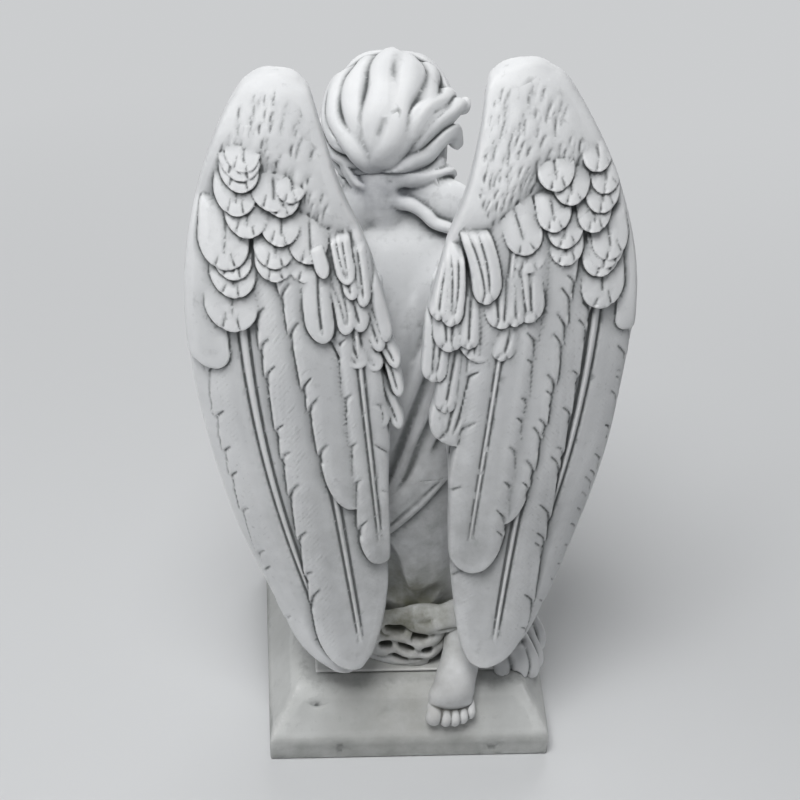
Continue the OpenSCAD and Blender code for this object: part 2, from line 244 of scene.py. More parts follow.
def cast(name, clay, node, material, keep=None, fineness=0.0):
    """Meshes a block of clay, or the part of it that keep leaves, as the piece that stands for a node."""
    field = clay.field if keep is None else np.maximum(clay.field, keep)
    band = 3 * clay.voxel
    grid = openvdb.FloatGrid(band)
    grid.copyFromArray(np.clip(field, -band, band).astype(np.float32))
    points, triangles, quads = grid.convertToPolygons(isovalue=0.0, adaptivity=fineness)
    verts = np.array(points, float) * clay.voxel + clay.low
    mesh = bpy.data.meshes.new(name)
    faces = [tuple(q) for q in quads[:, ::-1]] + [tuple(t) for t in triangles[:, ::-1]]
    mesh.from_pydata((verts * MM).tolist(), [], faces)
    mesh.validate()
    # how solid the surroundings of each point are, at two radii, for the crevice soiling and painted shade of
    # the stone's colour
    solid = np.clip(0.5 - clay.field / (2 * clay.voxel), 0, 1).astype(np.float32)
    for label, radius in SPOTS:
        fill = sample(clay, clay.box_mean(solid, radius), verts)
        layer = mesh.attributes.new(label, "FLOAT", "POINT")
        layer.data.foreach_set("value", fill.astype(np.float32))
    mesh.shade_smooth()
    mesh.set_sharp_from_angle(angle=math.radians(SHARP))
    piece = bpy.data.objects.new(name, mesh)
    bpy.context.scene.collection.objects.link(piece)
    mesh.materials.append(material)
    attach(piece, "root")
    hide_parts(node)
    print("piece", name, len(verts), "points", len(quads) * 2 + len(triangles), "triangles")


# ------------------------------------------------------------------ wings


def smoothed(stations, heights):
    """Values of a wing's stations (height first) at the given heights, without corners."""
    s = np.array(stations, float)
    fine = curve([tuple(r) for r in s], 6)
    order = np.argsort(fine[:, 0])
    return [np.interp(heights, fine[order, 0], fine[order, i]) for i in range(1, s.shape[1])]


class Relief:
    """The rear of a wing as a height map over x and z, in millimetres."""

    def __init__(self, stations, inward, clay):
        self.x, self.z = np.meshgrid(clay.axes[0], clay.axes[2], indexing="ij")
        inner, outer, rear = smoothed(stations, clay.axes[2])
        if inward < 0:
            inner, outer = outer, inner
        self.u = np.clip((self.x - inner) / (outer - inner), 0, 1)
        self.way = inward
        self.outline = self.distance_to(stations)
        broad = np.clip(np.abs(outer - inner) / 110, 0, 1)
        self.base = rear - 9 * broad * np.clip((0.35 - self.u) / 0.35, 0, 1) ** 2
        self.base = self.base - 22 * broad * np.clip((self.u - 0.4) / 0.6, 0, 1) ** 2
        self.height = np.full(self.x.shape, -1.0)
        self.outlines = self.outline.copy()
        self.random = np.random.default_rng(7)

    def distance_to(self, stations):
        """Distance to the wing's outline in x and z, negative inside."""
        fine = curve(stations, 4)
        ring = np.vstack([fine[:, [1, 0]], fine[::-1, :][:, [2, 0]]])
        best = np.full(self.x.shape, 1e9)
        inside = np.zeros(self.x.shape, bool)
        for p, q in zip(ring, np.roll(ring, -1, axis=0)):
            lx, lz = q - p
            dx, dz = self.x - p[0], self.z - p[1]
            t = np.clip((dx * lx + dz * lz) / (lx * lx + lz * lz + 1e-9), 0, 1)
            best = np.minimum(best, (dx - t * lx) ** 2 + (dz - t * lz) ** 2)
            if p[1] != q[1]:
                crosses = (p[1] > self.z) != (q[1] > self.z)
                inside ^= crosses & (dx < lx * dz / lz)
        return np.sqrt(best) * np.where(inside, -1, 1)

    def local(self, f):
        """Distance along a feather (0 at its root, 1 at its tip), across it (outwards), and its length."""
        b, t = np.array(f["root"], float), np.array(f["tip"], float)
        length = np.linalg.norm(t - b)
        a = (t - b) / length
        dx, dz = self.x - b[0], self.z - b[1]
        s = (dx * a[0] + dz * a[1]) / length
        c = -self.way * (dx * a[1] - dz * a[0])
        return s, c - f.get("bend", 0) * 4 * s * (1 - s), length

    def feather(self, **f):
        """Lays one feather on what is there already.

        root, tip and width place it; level is the height of its tip, lift how far its root lies below its
        tip, sink how much deeper the root end goes, bend its curve, dome its crown, point the length of its
        rounded tip over half its width, neck how much it narrows at the root. A free feather reaches past
        the wing's outline.
        """
        s, c, length = self.local(f)
        half = f["width"] / 2
        tip = f.get("point", 1.0) * half / length
        end = np.clip((s - (1 - tip)) / tip, 0, None)
        root = np.clip((0.35 - s) / 0.35, 0, 1)
        places = self.places(f)
        side = half * (1 - f.get("neck", 0.35) * root**2) + self.teeth(s, c, places)
        round_tip = (np.sqrt((c / side) ** 2 + end**2) - 1) * side * min(1.0, f.get("point", 1.0))
        edge = np.where(s > 1 - tip, round_tip, np.abs(c) - side)
        edge = np.maximum(edge, -s * length)
        q = np.clip(np.abs(c) / half, 0, 1)
        dome = f["dome"]
        h = f["level"] - f["lift"] * (1 - np.clip(s, 0, 1)) - dome * q**2
        h = h - f.get("sink", 7.0) * (1 - ramp(s, 0.0, 0.3))
        h = h - 0.5 * dome * np.clip(end, 0, 1) ** 2
        if f.get("shaft") == "ridge":
            fade = ramp(s, 0.0, 0.08) * (1 - ramp(s, 0.86, 0.97))
            off = c - f.get("shaft_at", 0) * half
            quill = f.get("quill", 1)
            gauge = (1.7 - 1.0 * np.clip(s, 0, 1)) * quill
            fade = fade * quill
            h = h + fade * (1.6 * bump(off, 1.7 * gauge) - 1.9 * bump(np.abs(off) - 2.8 * gauge, 1.5))
            h = h + 1.3 * bump(q - 0.62, 0.28)
        if f.get("shaft") == "cut":
            h = h - ramp(s, 0.25, 0.45) * (1 - ramp(s, 0.70, 0.86)) * 1.3 * bump(c + 1.0, 1.4)
        for at, way, size in places:
            h = h - self.notch(s * length, c, at * length, way, half, size)
        if f.get("strokes"):
            h = h - self.strokes(s * length, c, half, length, f["strokes"])
        for where in f.get("grooves", ()):
            drawn = where * half * (1 - 0.75 * np.clip(s, 0, 1) ** 2)
            h = h - ramp(s, 0.1, 0.35) * (1 - ramp(s, 0.8, 0.95)) * 1.9 * bump(c - drawn, 1.5)
        if f.get("barbs"):
            sway = 2.0 * np.sin(s * length / 17)
            barb = np.sin((s * length - 1.1 * np.abs(c)) * 2 * math.pi / 4.6 + sway)
            h = h + f["barbs"] * barb * ramp(q, 0.12, 0.6)
        wall = 3.2 * ramp(edge, -1.1, 0.3) + 9 * np.clip(edge, 0, None)
        h = np.where((s > -0.02) & (edge < 3), h - wall, -50)
        self.height = np.maximum(self.height, h)
        if f.get("free"):
            self.outlines = np.minimum(self.outlines, edge + 0.3)

    def places(self, f):
        """Where the barbs of a feather split: share of its length, side and size of each split."""
        n = f.get("notches", 0)
        sides = f.get("notch_sides", (-1, 1))
        low, high = f.get("notch_span", (0.15, 0.9))
        at = np.linspace(low, high, n) + self.random.uniform(-0.02, 0.02, n)
        return [(p, sides[i % len(sides)], self.random.uniform(11, 21)) for i, p in enumerate(at)]

    def teeth(self, s, c, places):
        """Each bunch of barbs swells towards its lower end and stops short at the split."""
        out = 0
        for way in (-1, 1):
            at = sorted(p for p, side, size in places if side == way)
            for low, high in zip(at[:-1], at[1:]):
                swell = np.clip((s - low) / (high - low), 0, 1)
                out = out + np.where((c * way > 0) & (s >= low) & (s < high), 2.6 * swell - 1.3, 0)
        return out

    def notch(self, along, c, where, way, half, size):
        """A split in the barbs: a groove from the feather's edge inwards and back to its root."""
        lx, lc = -size, -way * min(size * 0.55, half * 0.8)
        ax, ac = where, way * half
        t = np.clip(((along - ax) * lx + (c - ac) * lc) / (lx**2 + lc**2), 0, 1)
        bend = way * 2.2 * np.sin(math.pi * t)
        d = np.hypot(along - ax - t * lx, c - ac - t * lc - bend)
        return (5.0 - 4.2 * t) * bump(d, 2.3 - 1.2 * t)

    def strokes(self, along, c, half, length, count):
        """Short cuts that fan out from the middle of a feather to its edge."""
        total = 0
        for i in range(count):
            spread = -0.8 + 1.6 * (i + 0.5) / count + self.random.uniform(-0.1, 0.1)
            reach = self.random.uniform(0.22, 0.4) * min(length, 1.6 * half)
            ax, ac = length - half * spread**2 * 0.8 - 1, spread * half * 0.95
            lx, lc = -reach, -spread * half * 0.35
            t = np.clip(((along - ax) * lx + (c - ac) * lc) / (lx**2 + lc**2), 0, 1)
            d = np.hypot(along - ax - t * lx, c - ac - t * lc)
            total = total + (1.7 - 1.1 * t) * bump(d, 1.4 - 0.3 * t)
        return total

    def hatch(self, count, lean):
        """Short tool marks on the smooth wrist, away from its edges."""
        bare = (np.abs(self.height - self.wrist) < 0.01) & (self.wrist > 7)
        spots = np.argwhere(bare & (self.outline < -5) & (self.u > 0.04) & (self.u < 0.96))
        total = np.zeros(self.x.shape)
        for i in self.random.integers(0, len(spots), count):
            x, z = self.x[tuple(spots[i])], self.z[tuple(spots[i])]
            reach, depth = self.random.uniform(9, 22), self.random.uniform(0.7, 1.5)
            lx, lz = -self.way * reach * (lean + self.random.uniform(-0.15, 0.15)), -reach
            t = np.clip(((self.x - x) * lx + (self.z - z) * lz) / (lx**2 + lz**2), 0, 1)
            sway = 1.5 * np.sin(math.pi * t)
            d = np.hypot(self.x - x - t * lx - sway, self.z - z - t * lz)
            taper = np.sin(math.pi * np.clip(t, 0.05, 0.95))
            total = np.maximum(total, depth * taper * bump(d, 1.4))
        self.height -= total * bare


# Wing stations, from the tip up: height, inner edge, outer edge, rear surface
LEFT_STATIONS = [
    (94, 52, 64, 124), (100, 44, 76, 123), (108, 38, 87, 122), (122, 31, 99, 120), (160, 23, 118, 114),
    (220, 21, 142, 110), (290, 24, 160, 108), (360, 22, 172, 106), (420, 28, 176, 103), (470, 39, 173, 97),
    (520, 62, 162, 86), (560, 75, 147, 73), (584, 83, 133, 61), (591, 89, 125, 55), (595, 95, 118, 52),
    (597, 104, 111, 51),
]
RIGHT_STATIONS = [
    (101, -66, -54, 123), (107, -80, -46, 122), (116, -91, -41, 120), (128, -100, -37, 118),
    (160, -114, -32, 114), (220, -134, -25, 110), (290, -149, -22, 108), (360, -156, -10, 106),
    (420, -159, -2, 103), (470, -154, -11, 97), (520, -139, -28, 86), (560, -119, -36, 74),
    (590, -99, -40, 60), (599, -86, -47, 54), (603, -79, -55, 51), (605, -71, -64, 50),
]


# How the four flight feathers lie, outermost first: level, lift, dome and depth of the barbs
FLIGHT = ((3, 2, 2, 0.17), (9, 3, 1.5, 0.17), (13, 4.5, 1, 0.16), (15.5, 5.5, 2, 0.16))
LOWEST_ROW = 415  # height of the lowest scallop's tip


def lay_flight(r, feathers):
    for (level, lift, dome, barbs), feather in zip(FLIGHT, feathers):
        r.feather(level=level, lift=lift, dome=dome, barbs=barbs, sink=8, neck=0, **feather)


def lay_plumes(r, plumes, step, free, **style):
    """Inner plumes, lowest first: root x and z, tip x and z, width, bend, then the places of grooves."""
    for i, (x0, z0, x1, z1, width, bend, *grooves) in enumerate(plumes):
        r.feather(root=(x0, z0), tip=(x1, z1), width=width, bend=bend, grooves=grooves,
                  level=14.5 + step * i, lift=7, sink=9, free=i < free, **style)


def lay_scallops(r, scallops):
    """Rows of short coverts, lowest first: root x and z, tip x and z, width."""
    for x0, z0, x1, z1, width in scallops:
        r.feather(root=(x0, z0), tip=(x1, z1), width=width, level=11 + 0.055 * (z1 - LOWEST_ROW), lift=9,
                  dome=1.8, shaft="cut", strokes=2)


def lay_left_feathers(r):
    lay_flight(r, (
        dict(root=(134, 560), tip=(56, 92), width=68, bend=27, point=1.5, shaft="ridge", notches=8,
             notch_sides=(1,), notch_span=(0.4, 0.9)),
        dict(root=(112, 560), tip=(42, 102), width=66, point=1.3, shaft="ridge", shaft_at=-0.08, notches=12,
             notch_sides=(1, 1, 1, -1), notch_span=(0.28, 0.92)),
        dict(root=(112, 560), tip=(50, 261), width=34, point=2.2, notches=7, notch_sides=(1, 1, -1),
             notch_span=(0.4, 0.85)),
        dict(root=(66, 560), tip=(27, 206), width=32, point=1.8, quill=0.7, shaft="ridge", notches=9,
             notch_sides=(1, -1), notch_span=(0.45, 0.9)),
    ))
    lay_plumes(r, (
        (42, 392, 16, 331, 12, -2, 0.2), (48, 398, 28, 335, 13, -2, 0.1),
        (34, 420, 17, 360, 11, -1, 0.3), (66, 436, 45, 390, 22, 2, -0.2, 0.5),
        (56, 430, 33, 386, 16, 1, 0.2), (42, 432, 19, 386, 11, 0, 0.1),
        (52, 458, 32, 402, 12, -1, 0.2), (45, 468, 27, 409, 11, -1),
        (64, 474, 46, 420, 15, -2, 0.3), (74, 476, 57, 419, 16, -4, -0.2, 0.4),
        (78, 486, 74, 413, 22, 3, -0.1), (60, 486, 53, 446, 13, 0, 0.4),
        (52, 496, 45, 440, 11, -1, 0.2), (64, 500, 56, 458, 15, 1, -0.2, 0.4),
        (82, 492, 73, 464, 11, 0),
    ), 0.3, 8, dome=2.6, point=1.6)
    # the long covert of the outer edge
    r.feather(root=(147, 545), tip=(158, 378), width=34, bend=8, level=7, lift=5, dome=2.4, neck=0.2)
    lay_scallops(r, (
        (141, 478, 141, 415, 40), (138, 480, 140, 443, 34), (138, 484, 140, 457, 29),
        (87, 494, 87, 459, 25), (109, 496, 109, 459, 29), (109, 502, 109, 469, 30),
        (143, 520, 146, 464, 37), (86, 520, 84, 473, 29), (104, 520, 105, 486, 29),
        (128, 526, 129, 490, 31), (134, 542, 137, 505, 31), (103, 542, 103, 507, 26),
        (111, 545, 109, 511, 31), (96, 550, 97, 517, 23), (132, 558, 133, 522, 29),
        (131, 562, 133, 530, 31), (129, 568, 131, 536, 26),
    ))
    r.hatch(90, -0.25)


def lay_right_feathers(r):
    lay_flight(r, (
        dict(root=(-122, 560), tip=(-62, 104), width=68, bend=27, point=1.5, shaft="ridge", notches=18,
             notch_sides=(1,), notch_span=(0.35, 0.93)),
        dict(root=(-98, 560), tip=(-57, 102), width=72, point=1.4, shaft="ridge", shaft_at=0.2, notches=14,
             notch_sides=(1, 1, 1, -1), notch_span=(0.3, 0.93)),
        dict(root=(-100, 560), tip=(-66, 246), width=26, bend=7, point=2.4, notches=10, notch_sides=(1,),
             notch_span=(0.35, 0.9)),
        dict(root=(-70, 560), tip=(-41, 198), width=50, point=1.9, quill=0.6, shaft="ridge", shaft_at=-0.1,
             notches=11, notch_sides=(1, 1, -1), notch_span=(0.42, 0.92)),
    ))
    lay_plumes(r, (
        (-36, 430, -20, 317, 42, 5, -0.5, 0.0, 0.5), (-24, 420, -16, 347, 17, 0, 0.1),
        (-44, 450, -38, 395, 34, 0, -0.4, 0.1, 0.6), (-10, 440, -7, 373, 20, 0, -0.2, 0.4),
        (-62, 456, -55, 397, 20, 2, 0.2), (-14, 460, -17, 402, 24, 1, -0.3, 0.3),
        (-32, 460, -31, 406, 17, 0, 0.0), (-52, 476, -54, 424, 26, 1, -0.4, 0.3),
        (-68, 484, -75, 429, 26, -1, -0.3, 0.3), (-62, 476, -64, 426, 17, 0, 0.1),
        (-16, 490, -17, 424, 17, 3, -0.2, 0.4), (-14, 484, -8, 428, 14, -1, 0.2),
        (-26, 504, -43, 444, 22, 5, -0.4, 0.2),
    ), 0.35, 4, dome=2.8, point=1.2, strokes=2)
    r.feather(root=(-138, 540), tip=(-154, 407), width=25, bend=6, level=7, lift=5, dome=2.4, neck=0.2)
    lay_scallops(r, (
        (-126, 490, -131, 432, 34), (-124, 492, -128, 458, 30), (-126, 498, -133, 464, 28),
        (-70, 502, -72, 466, 28), (-98, 504, -100, 470, 26), (-128, 508, -135, 470, 29),
        (-97, 514, -98, 483, 28), (-54, 530, -72, 480, 28), (-116, 524, -121, 492, 27),
        (-84, 530, -91, 496, 26), (-121, 540, -127, 505, 28), (-98, 550, -102, 514, 28),
        (-121, 552, -130, 518, 26), (-84, 562, -91, 525, 28), (-114, 572, -123, 534, 26),
    ))
    r.hatch(110, 0.25)


def lay_front(r, way, centre):
    """The side of a wing that faces the figure: long feathers and rows of coverts, in low relief."""
    for i in range(5):
        r.feather(root=(centre + way * (40 - 16 * i), 520), tip=(centre - way * (18 + 2 * i), 105 + 42 * i),
                  width=50, bend=12, level=1.5 + 1.2 * i, lift=2, dome=2.5, point=1.5, neck=0,
                  barbs=0.15, shaft="ridge", notches=6, notch_sides=(1,))
    for row, z in enumerate((385, 430, 475, 515)):
        for i in range(5):
            x = centre + way * (50 - 25 * i - 5 * row)
            r.feather(root=(x, z + 60), tip=(x + way * 4, z + 8 * (i % 2)), width=34, dome=2,
                      level=7.2 + 0.3 * row,
                      lift=6, shaft="cut", strokes=2)


def wing(stations, way, lay, node_box):
    low, high = (np.array(c) / MM for c in node_box)
    clay = Clay(low - (12, 3, 3), high + (12, 4, 4), 0.9)
    skin = 6  # how far the bare rear face lies under the wing's base surface
    r = Relief(stations, way, clay)
    # the smooth wrist at the top, which thins out downwards under the coverts
    lower = 520 - 40 * (1 - ramp(r.u, 0.1, 0.5))
    r.height = np.maximum(r.height, 15 * ramp(r.z, lower - 30, lower + 40) - 1.5)
    r.wrist = r.height.copy()
    lay(r)
    rear = r.base - skin + r.height
    inside = np.clip(-r.outlines / (14 + 12 * ramp(r.z, 490, 580)), 0, 1)
    rim = 0.2 + 0.8 * np.sqrt(1 - (1 - inside) ** 2)
    back = Relief(stations, way, clay)
    middle = (stations[5][1] + stations[5][2]) / 2
    lay_front(back, way, middle)
    thick = 4 + 9 * ramp(r.z, 100, 560)
    front = r.base - skin - thick * rim - np.clip(back.height, -1, 8) * rim
    front = np.minimum(front, rear - 3)
    y = clay.grid()[1]

    def spread(values):
        return values[:, None, :].astype(np.float32)

    slab = -smooth_min(spread(rear) - y, y - spread(front), 2.0)
    clay.field = -smooth_min(-slab * 0.8, -spread(r.outlines), 3.0)
    return clay


def build_wings(material):
    for name, stations, way, lay, root_x in (
        ("left_wing", LEFT_STATIONS, 1, lay_left_feathers, 44),
        ("right_wing", RIGHT_STATIONS, -1, lay_right_feathers, -20),
    ):
        clay = wing(stations, way, lay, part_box(name))
        for y in (56, 72):
            clay.tube([(root_x, y, 392, 15), (root_x, y, 432, 15)], 2, steps=1)
        cast(name + "_feathers", clay, name, material, fineness=0.08)


# ------------------------------------------------------------------ body


def loft(clay, stations):
    """Adds a body of level elliptical sections: height, centre x and y, half width and half depth."""
    z = clay.axes[2]
    fine = curve(stations, 6)
    cx, cy, rx, ry = (np.interp(z, fine[:, 0], fine[:, i]).astype(np.float32) for i in range(1, 5))
    x, y, _ = clay.grid()
    d = (np.sqrt(((x - cx) / rx) ** 2 + ((y - cy) / ry) ** 2) - 1) * np.minimum(rx, ry)
    ends = np.maximum(fine[0, 0] - z, z - fine[-1, 0]).astype(np.float32)
    clay.field = smooth_min(clay.field, np.maximum(d, ends), 0.1)


def beyond(clay, point, normal):
    """Distance past a plane; as a keep field it leaves the side that the normal points away from."""
    n = np.array(normal, float) / np.linalg.norm(normal)
    return sum(
        ((clay.axes[i] - point[i]) * n[i]).astype(np.float32).reshape([-1 if k == i else 1 for k in range(3)])
        for i in range(3)
    )


HAIR_CENTRE = (24, -6, 540)


def strands(clay, paths, blend=2.0, wave=1.8, drop=0, thin=0.9):
    """Wavy locks of hair: each is a soft core with three thinner strands that wind over it."""
    for number, path in enumerate(paths):
        p = curve(path, 8)
        out = p[:, :3] - np.array(HAIR_CENTRE)
        out /= np.linalg.norm(out, axis=1)[:, None]
        along = np.gradient(p[:, :3], axis=0)
        across = np.cross(out, along)
        across /= np.linalg.norm(across, axis=1)[:, None] + 1e-9
        far = np.cumsum(np.linalg.norm(along, axis=1))
        phase = 2.4 * number
        p[:, 2] -= drop
        swing = np.sin(far / 6.5 + phase)[:, None]
        p[:, :3] += across * swing * wave + out * np.cos(far / 8.0 + phase)[:, None] * wave * 0.5
        p[:, 3] *= 1 + 0.10 * np.sin(far / 9 + 2 * phase)
        clay.tube_along(p, blend)
        for k, side in enumerate((-0.62, 0.05, 0.66)):
            turn = np.sin(far / 14 + phase + 2.1 * k)[:, None]
            q = p.copy()
            proud = 0.62 - 0.3 * abs(side) + 0.14 * turn
            q[:, :3] += (across * (side + 0.16 * turn) + out * proud) * p[:, 3:]
            q[:, 3] *= 0.42
            clay.tube_along(q, thin)


# The joint between head and torso: a point on it, and the way it faces
NECK = (19, 2, 488)
NECK_LEAN = math.radians(35)
NECK_WAY = (0, -math.sin(NECK_LEAN), math.cos(NECK_LEAN))
FILLED = 0.8  # how far each piece runs past a joint that is filled flush


def nape(clay):
    """What crosses the joint between head and torso: the neck and the locks that fall over it."""
    clay.tube([(17, 10, 466, 21), (20, 0, 500, 19), (22, -10, 522, 19)], 5)
    for side in (-1, 1):
        clay.tube([(22 + side * 8, 18, 512, 12), (18 + side * 24, 22, 486, 14),
                   (16 + side * 44, 20, 462, 15)], 8)
    clay.tube([(33, 20, 524, 12), (31, 24, 508, 12), (29, 27, 492, 11), (28, 28, 472, 8)], 9)
    clay.ellipsoid((-10, 28, 482), (32, 12, 22), 10)
    strands(clay, [
        [(24, 36, 512, 5), (8, 34, 508, 6.5), (-5, 28, 508, 7), (-15, 20, 506, 6), (-21, 13, 499, 3.5)],
        [(56, 22, 512, 6), (48, 29, 503, 5.5), (38, 33, 500, 4)],
        [(58, 14, 500, 5), (50, 22, 492, 4.5), (42, 28, 484, 3)],
    ], wave=0.8)
    # the ribbon of hair that runs on into the rim of the collar
    clay.tube([(-13, 21, 516, 3), (2, 31, 511, 3.4), (16, 36, 508, 3.4), (25, 37, 503, 3.2), (24, 37, 495, 3),
               (17, 38, 490, 3), (9, 40, 489, 3), (-1, 42, 483, 2.8), (-8, 43.5, 476, 2.6),
               (-18, 44, 472, 2.4),
               (-34, 41, 463, 2.2)], 4)


def build_head(material):
    clay = Clay((-42, -68, 468), (84, 54, 602), 0.75)
    centre, bowed = np.array((22.0, -8.0, 541.0)), (15, 0, 0)
    pitch = rotation(bowed)

    def place(x, y, z):
        return tuple(centre + pitch @ np.array((x, y, z), float))

    def form(c, radii, blend=5.0, carve=False):
        clay.ellipsoid(place(*c), radii, blend, bowed, carve)

    def line(points, blend):
        clay.tube([(*place(*q[:3]), q[3]) for q in points], blend)

    # skull, face and jaw
    form((0, 0, 2), (35, 40, 40))
    form((0, -18, -14), (27, 23, 36), 6)
    form((0, -22, -34), (20, 18, 15), 7)
    form((0, -36, -46), (9, 8, 7), 7)
    form((0, -24, 12), (27, 18, 20), 6)
    for side in (-1, 1):
        form((side * 14, -32, -17), (9, 8, 11), 7)
        form((side * 13, -45, -4), (8.5, 6, 5.5), 4, carve=True)
        form((side * 13, -37, -4.5), (8, 6, 5.2), 1.5)
    # brows, nose and lips
    for side in (-1, 1):
        line([(side * 5, -40.5, 1, 2.2), (side * 13, -40.5, 4, 2.4), (side * 22, -35, 1.5, 2.2)], 4)
    line([(0, -39.5, 3, 3.2), (0, -42.5, -8, 3.2), (0, -46.5, -18, 3.6), (0, -48.5, -22.5, 4.2)], 3)
    for side in (-1, 1):
        form((side * 4.4, -44.5, -23.5), (3, 3.8, 2.8), 2)
        form((side * 2.7, -46.5, -26.6), (1.3, 1.8, 1.2), 0.8, carve=True)
    line([(-8, -38.6, -33.4, 1.0), (-3.5, -41.8, -32.4, 1.7), (0, -42, -32.9, 1.5), (3.5, -41.8, -32.4, 1.7),
          (8, -38.6, -33.4, 1.0)], 2)
    line([(-6, -39.4, -35.8, 1.2), (0, -41.6, -36.8, 2.2), (6, -39.4, -35.8, 1.2)], 2)
    # the line between the lips, the closed lids and their creases
    for points, depth, width in (
        ([(-9, -39, -34.2), (-4, -43, -34.4), (0, -43.6, -34.8), (4, -43, -34.4), (9, -39, -34.2)], 1.1, 0.9),
        ([(0, -46, -28.5), (0, -45.5, -31)], 0.5, 1.2),
    ):
        clay.stroke([place(*q) for q in points], -depth, width)
    for side in (-1, 1):
        lash = [(side * 5.5, -41, -6), (side * 9, -43.2, -7.6), (side * 14, -43.2, -8),
                (side * 20, -38, -5.6)]
        clay.stroke([place(*q) for q in lash], -1.1, 0.9)
        crease = [(side * 6, -40, -2.4), (side * 12, -42, -0.4), (side * 20, -37.5, -2.2)]
        clay.stroke([place(*q) for q in crease], -0.6, 1.0)
    # hair: the cap, then locks from the crown to the nape
    clay.ellipsoid((24, 2, 544), (38, 37, 35), 2)
    clay.ellipsoid((24, 12, 530), (36, 26, 24), 3)
    clay.ellipsoid((-2, 2, 535), (15, 23, 25), 5)
    strands(clay, [
        [(24, -22, 581, 7), (29, 6, 581, 8), (34, 27, 565, 8), (37, 34, 547, 7), (35, 37, 530, 5)],
        [(12, -22, 579, 7), (14, 7, 578, 9), (20, 29, 563, 9), (27, 36, 546, 7), (32, 38, 530, 5)],
        [(38, -24, 575, 7), (46, 3, 573, 8), (50, 21, 560, 7), (46, 30, 545, 6), (38, 36, 530, 5)],
        [(-2, -18, 571, 8), (-1, 8, 568, 8), (6, 25, 557, 8), (16, 34, 544, 7), (28, 38, 529, 5)],
        [(50, -22, 567, 7), (59, -2, 564, 7), (62, 12, 554, 7), (56, 24, 544, 6), (47, 32, 533, 6),
         (38, 36, 524, 4)],
    ], blend=6, wave=1.4, drop=5, thin=2.0)
    strands(clay, [
        # the curl at the left and the waves below it
        [(60, -14, 564, 6), (67, -2, 556, 6), (68, 10, 545, 6), (63, 20, 534, 5.5), (54, 27, 534, 5),
         (50, 29, 541, 4), (54, 28, 548, 3.4), (60, 25, 545, 2.6)],
        [(70, -12, 546, 6), (70, 2, 532, 6), (62, 17, 523, 6), (51, 27, 522, 6), (40, 34, 526, 5)],
        [(68, -10, 532, 6), (65, 4, 520, 6), (57, 17, 512, 6), (48, 25, 512, 5), (38, 33, 518, 4)],
        # sweeps that run from the nape up to the blown tips at the right
        [(31, 37, 524, 5), (16, 35, 534, 6), (2, 29, 545, 7), (-12, 18, 554, 7), (-24, 8, 557, 6),
         (-29, 2, 551, 4.5),
         (-31, -2, 556, 3)],
        [(22, 36, 545, 5), (8, 31, 556, 7), (-6, 19, 563, 7), (-14, 6, 563, 6), (-20, -4, 558, 4)],
        [(29, 37, 519, 5), (14, 35, 524, 7), (0, 28, 531, 8), (-12, 20, 537, 7), (-21, 11, 536, 6),
         (-27, 6, 528, 4)],
        # from the parting over the brow to both sides
        [(22, -40, 572, 4.5), (40, -38, 564, 6), (54, -28, 551, 7), (62, -14, 540, 7), (66, 0, 528, 6)],
        [(22, -34, 578, 5), (44, -31, 571, 7), (58, -20, 560, 7), (66, -6, 550, 6)],
        [(22, -40, 572, 4.5), (4, -38, 564, 6), (-9, -28, 551, 7), (-14, -14, 540, 7), (-14, 4, 530, 7)],
        [(22, -34, 578, 5), (0, -31, 571, 7), (-13, -20, 562, 7), (-18, -8, 554, 6)],
        [(52, -28, 546, 5), (57, -20, 531, 6), (59, -8, 519, 6), (59, 4, 513, 5)],
        [(-8, -28, 546, 5), (-12, -20, 532, 6), (-13, -8, 520, 6), (-13, 6, 512, 5)],
    ], drop=4)
    clay.ellipsoid((34, 37, 520), (8, 5, 8), 3)
    nape(clay)
    keep = -beyond(clay, NECK, NECK_WAY) - FILLED
    cast("head_and_hair", clay, "head", material, keep=keep, fineness=0.1)


GOWN = [
    (60, -2, -8, 74, 66), (90, -1, -4, 69, 63), (140, 1, 8, 62, 56), (190, 2, 24, 61, 48),
    (230, 3, 35, 57, 39),
    (262, 4, 38, 45, 34), (275, 5, 38, 43, 33),
]
TORSO = [
    (250, 4, 37, 47, 35), (262, 4, 38, 45, 34), (290, 5, 36, 43, 32), (330, 7, 33, 50, 36),
    (375, 10, 28, 60, 40),
    (415, 12, 24, 68, 39), (445, 14, 20, 74, 34), (462, 15, 18, 66, 29), (476, 17, 13, 36, 24),
    (488, 18, 6, 22, 21),
    (512, 20, -8, 19, 19),
]
WAIST = 262


def hand(clay, wrist, knuckles, across, fingers, thumb):
    """A slim hand: palm from wrist to knuckles, four fingers and a thumb."""
    wrist, knuckles, across = (np.array(v, float) for v in (wrist, knuckles, across))
    up = np.cross(across, knuckles - wrist)
    for i, shift in enumerate((-1.5, -0.5, 0.5, 1.5)):
        start = knuckles + across * shift * 5.2
        clay.tube([(*(wrist + across * shift * 3), 5.5), (*start, 4.6)], 3, steps=1)
        run = [start] + [start + np.array(f, float) * (1.0 if 0 < i < 3 else 0.85) + across * shift * 0.6
                         for f in fingers]
        clay.tube([(*q, 4.3 - 0.5 * k) for k, q in enumerate(run)], 0.8)
    clay.tube([(*q, r) for q, r in thumb], 2)


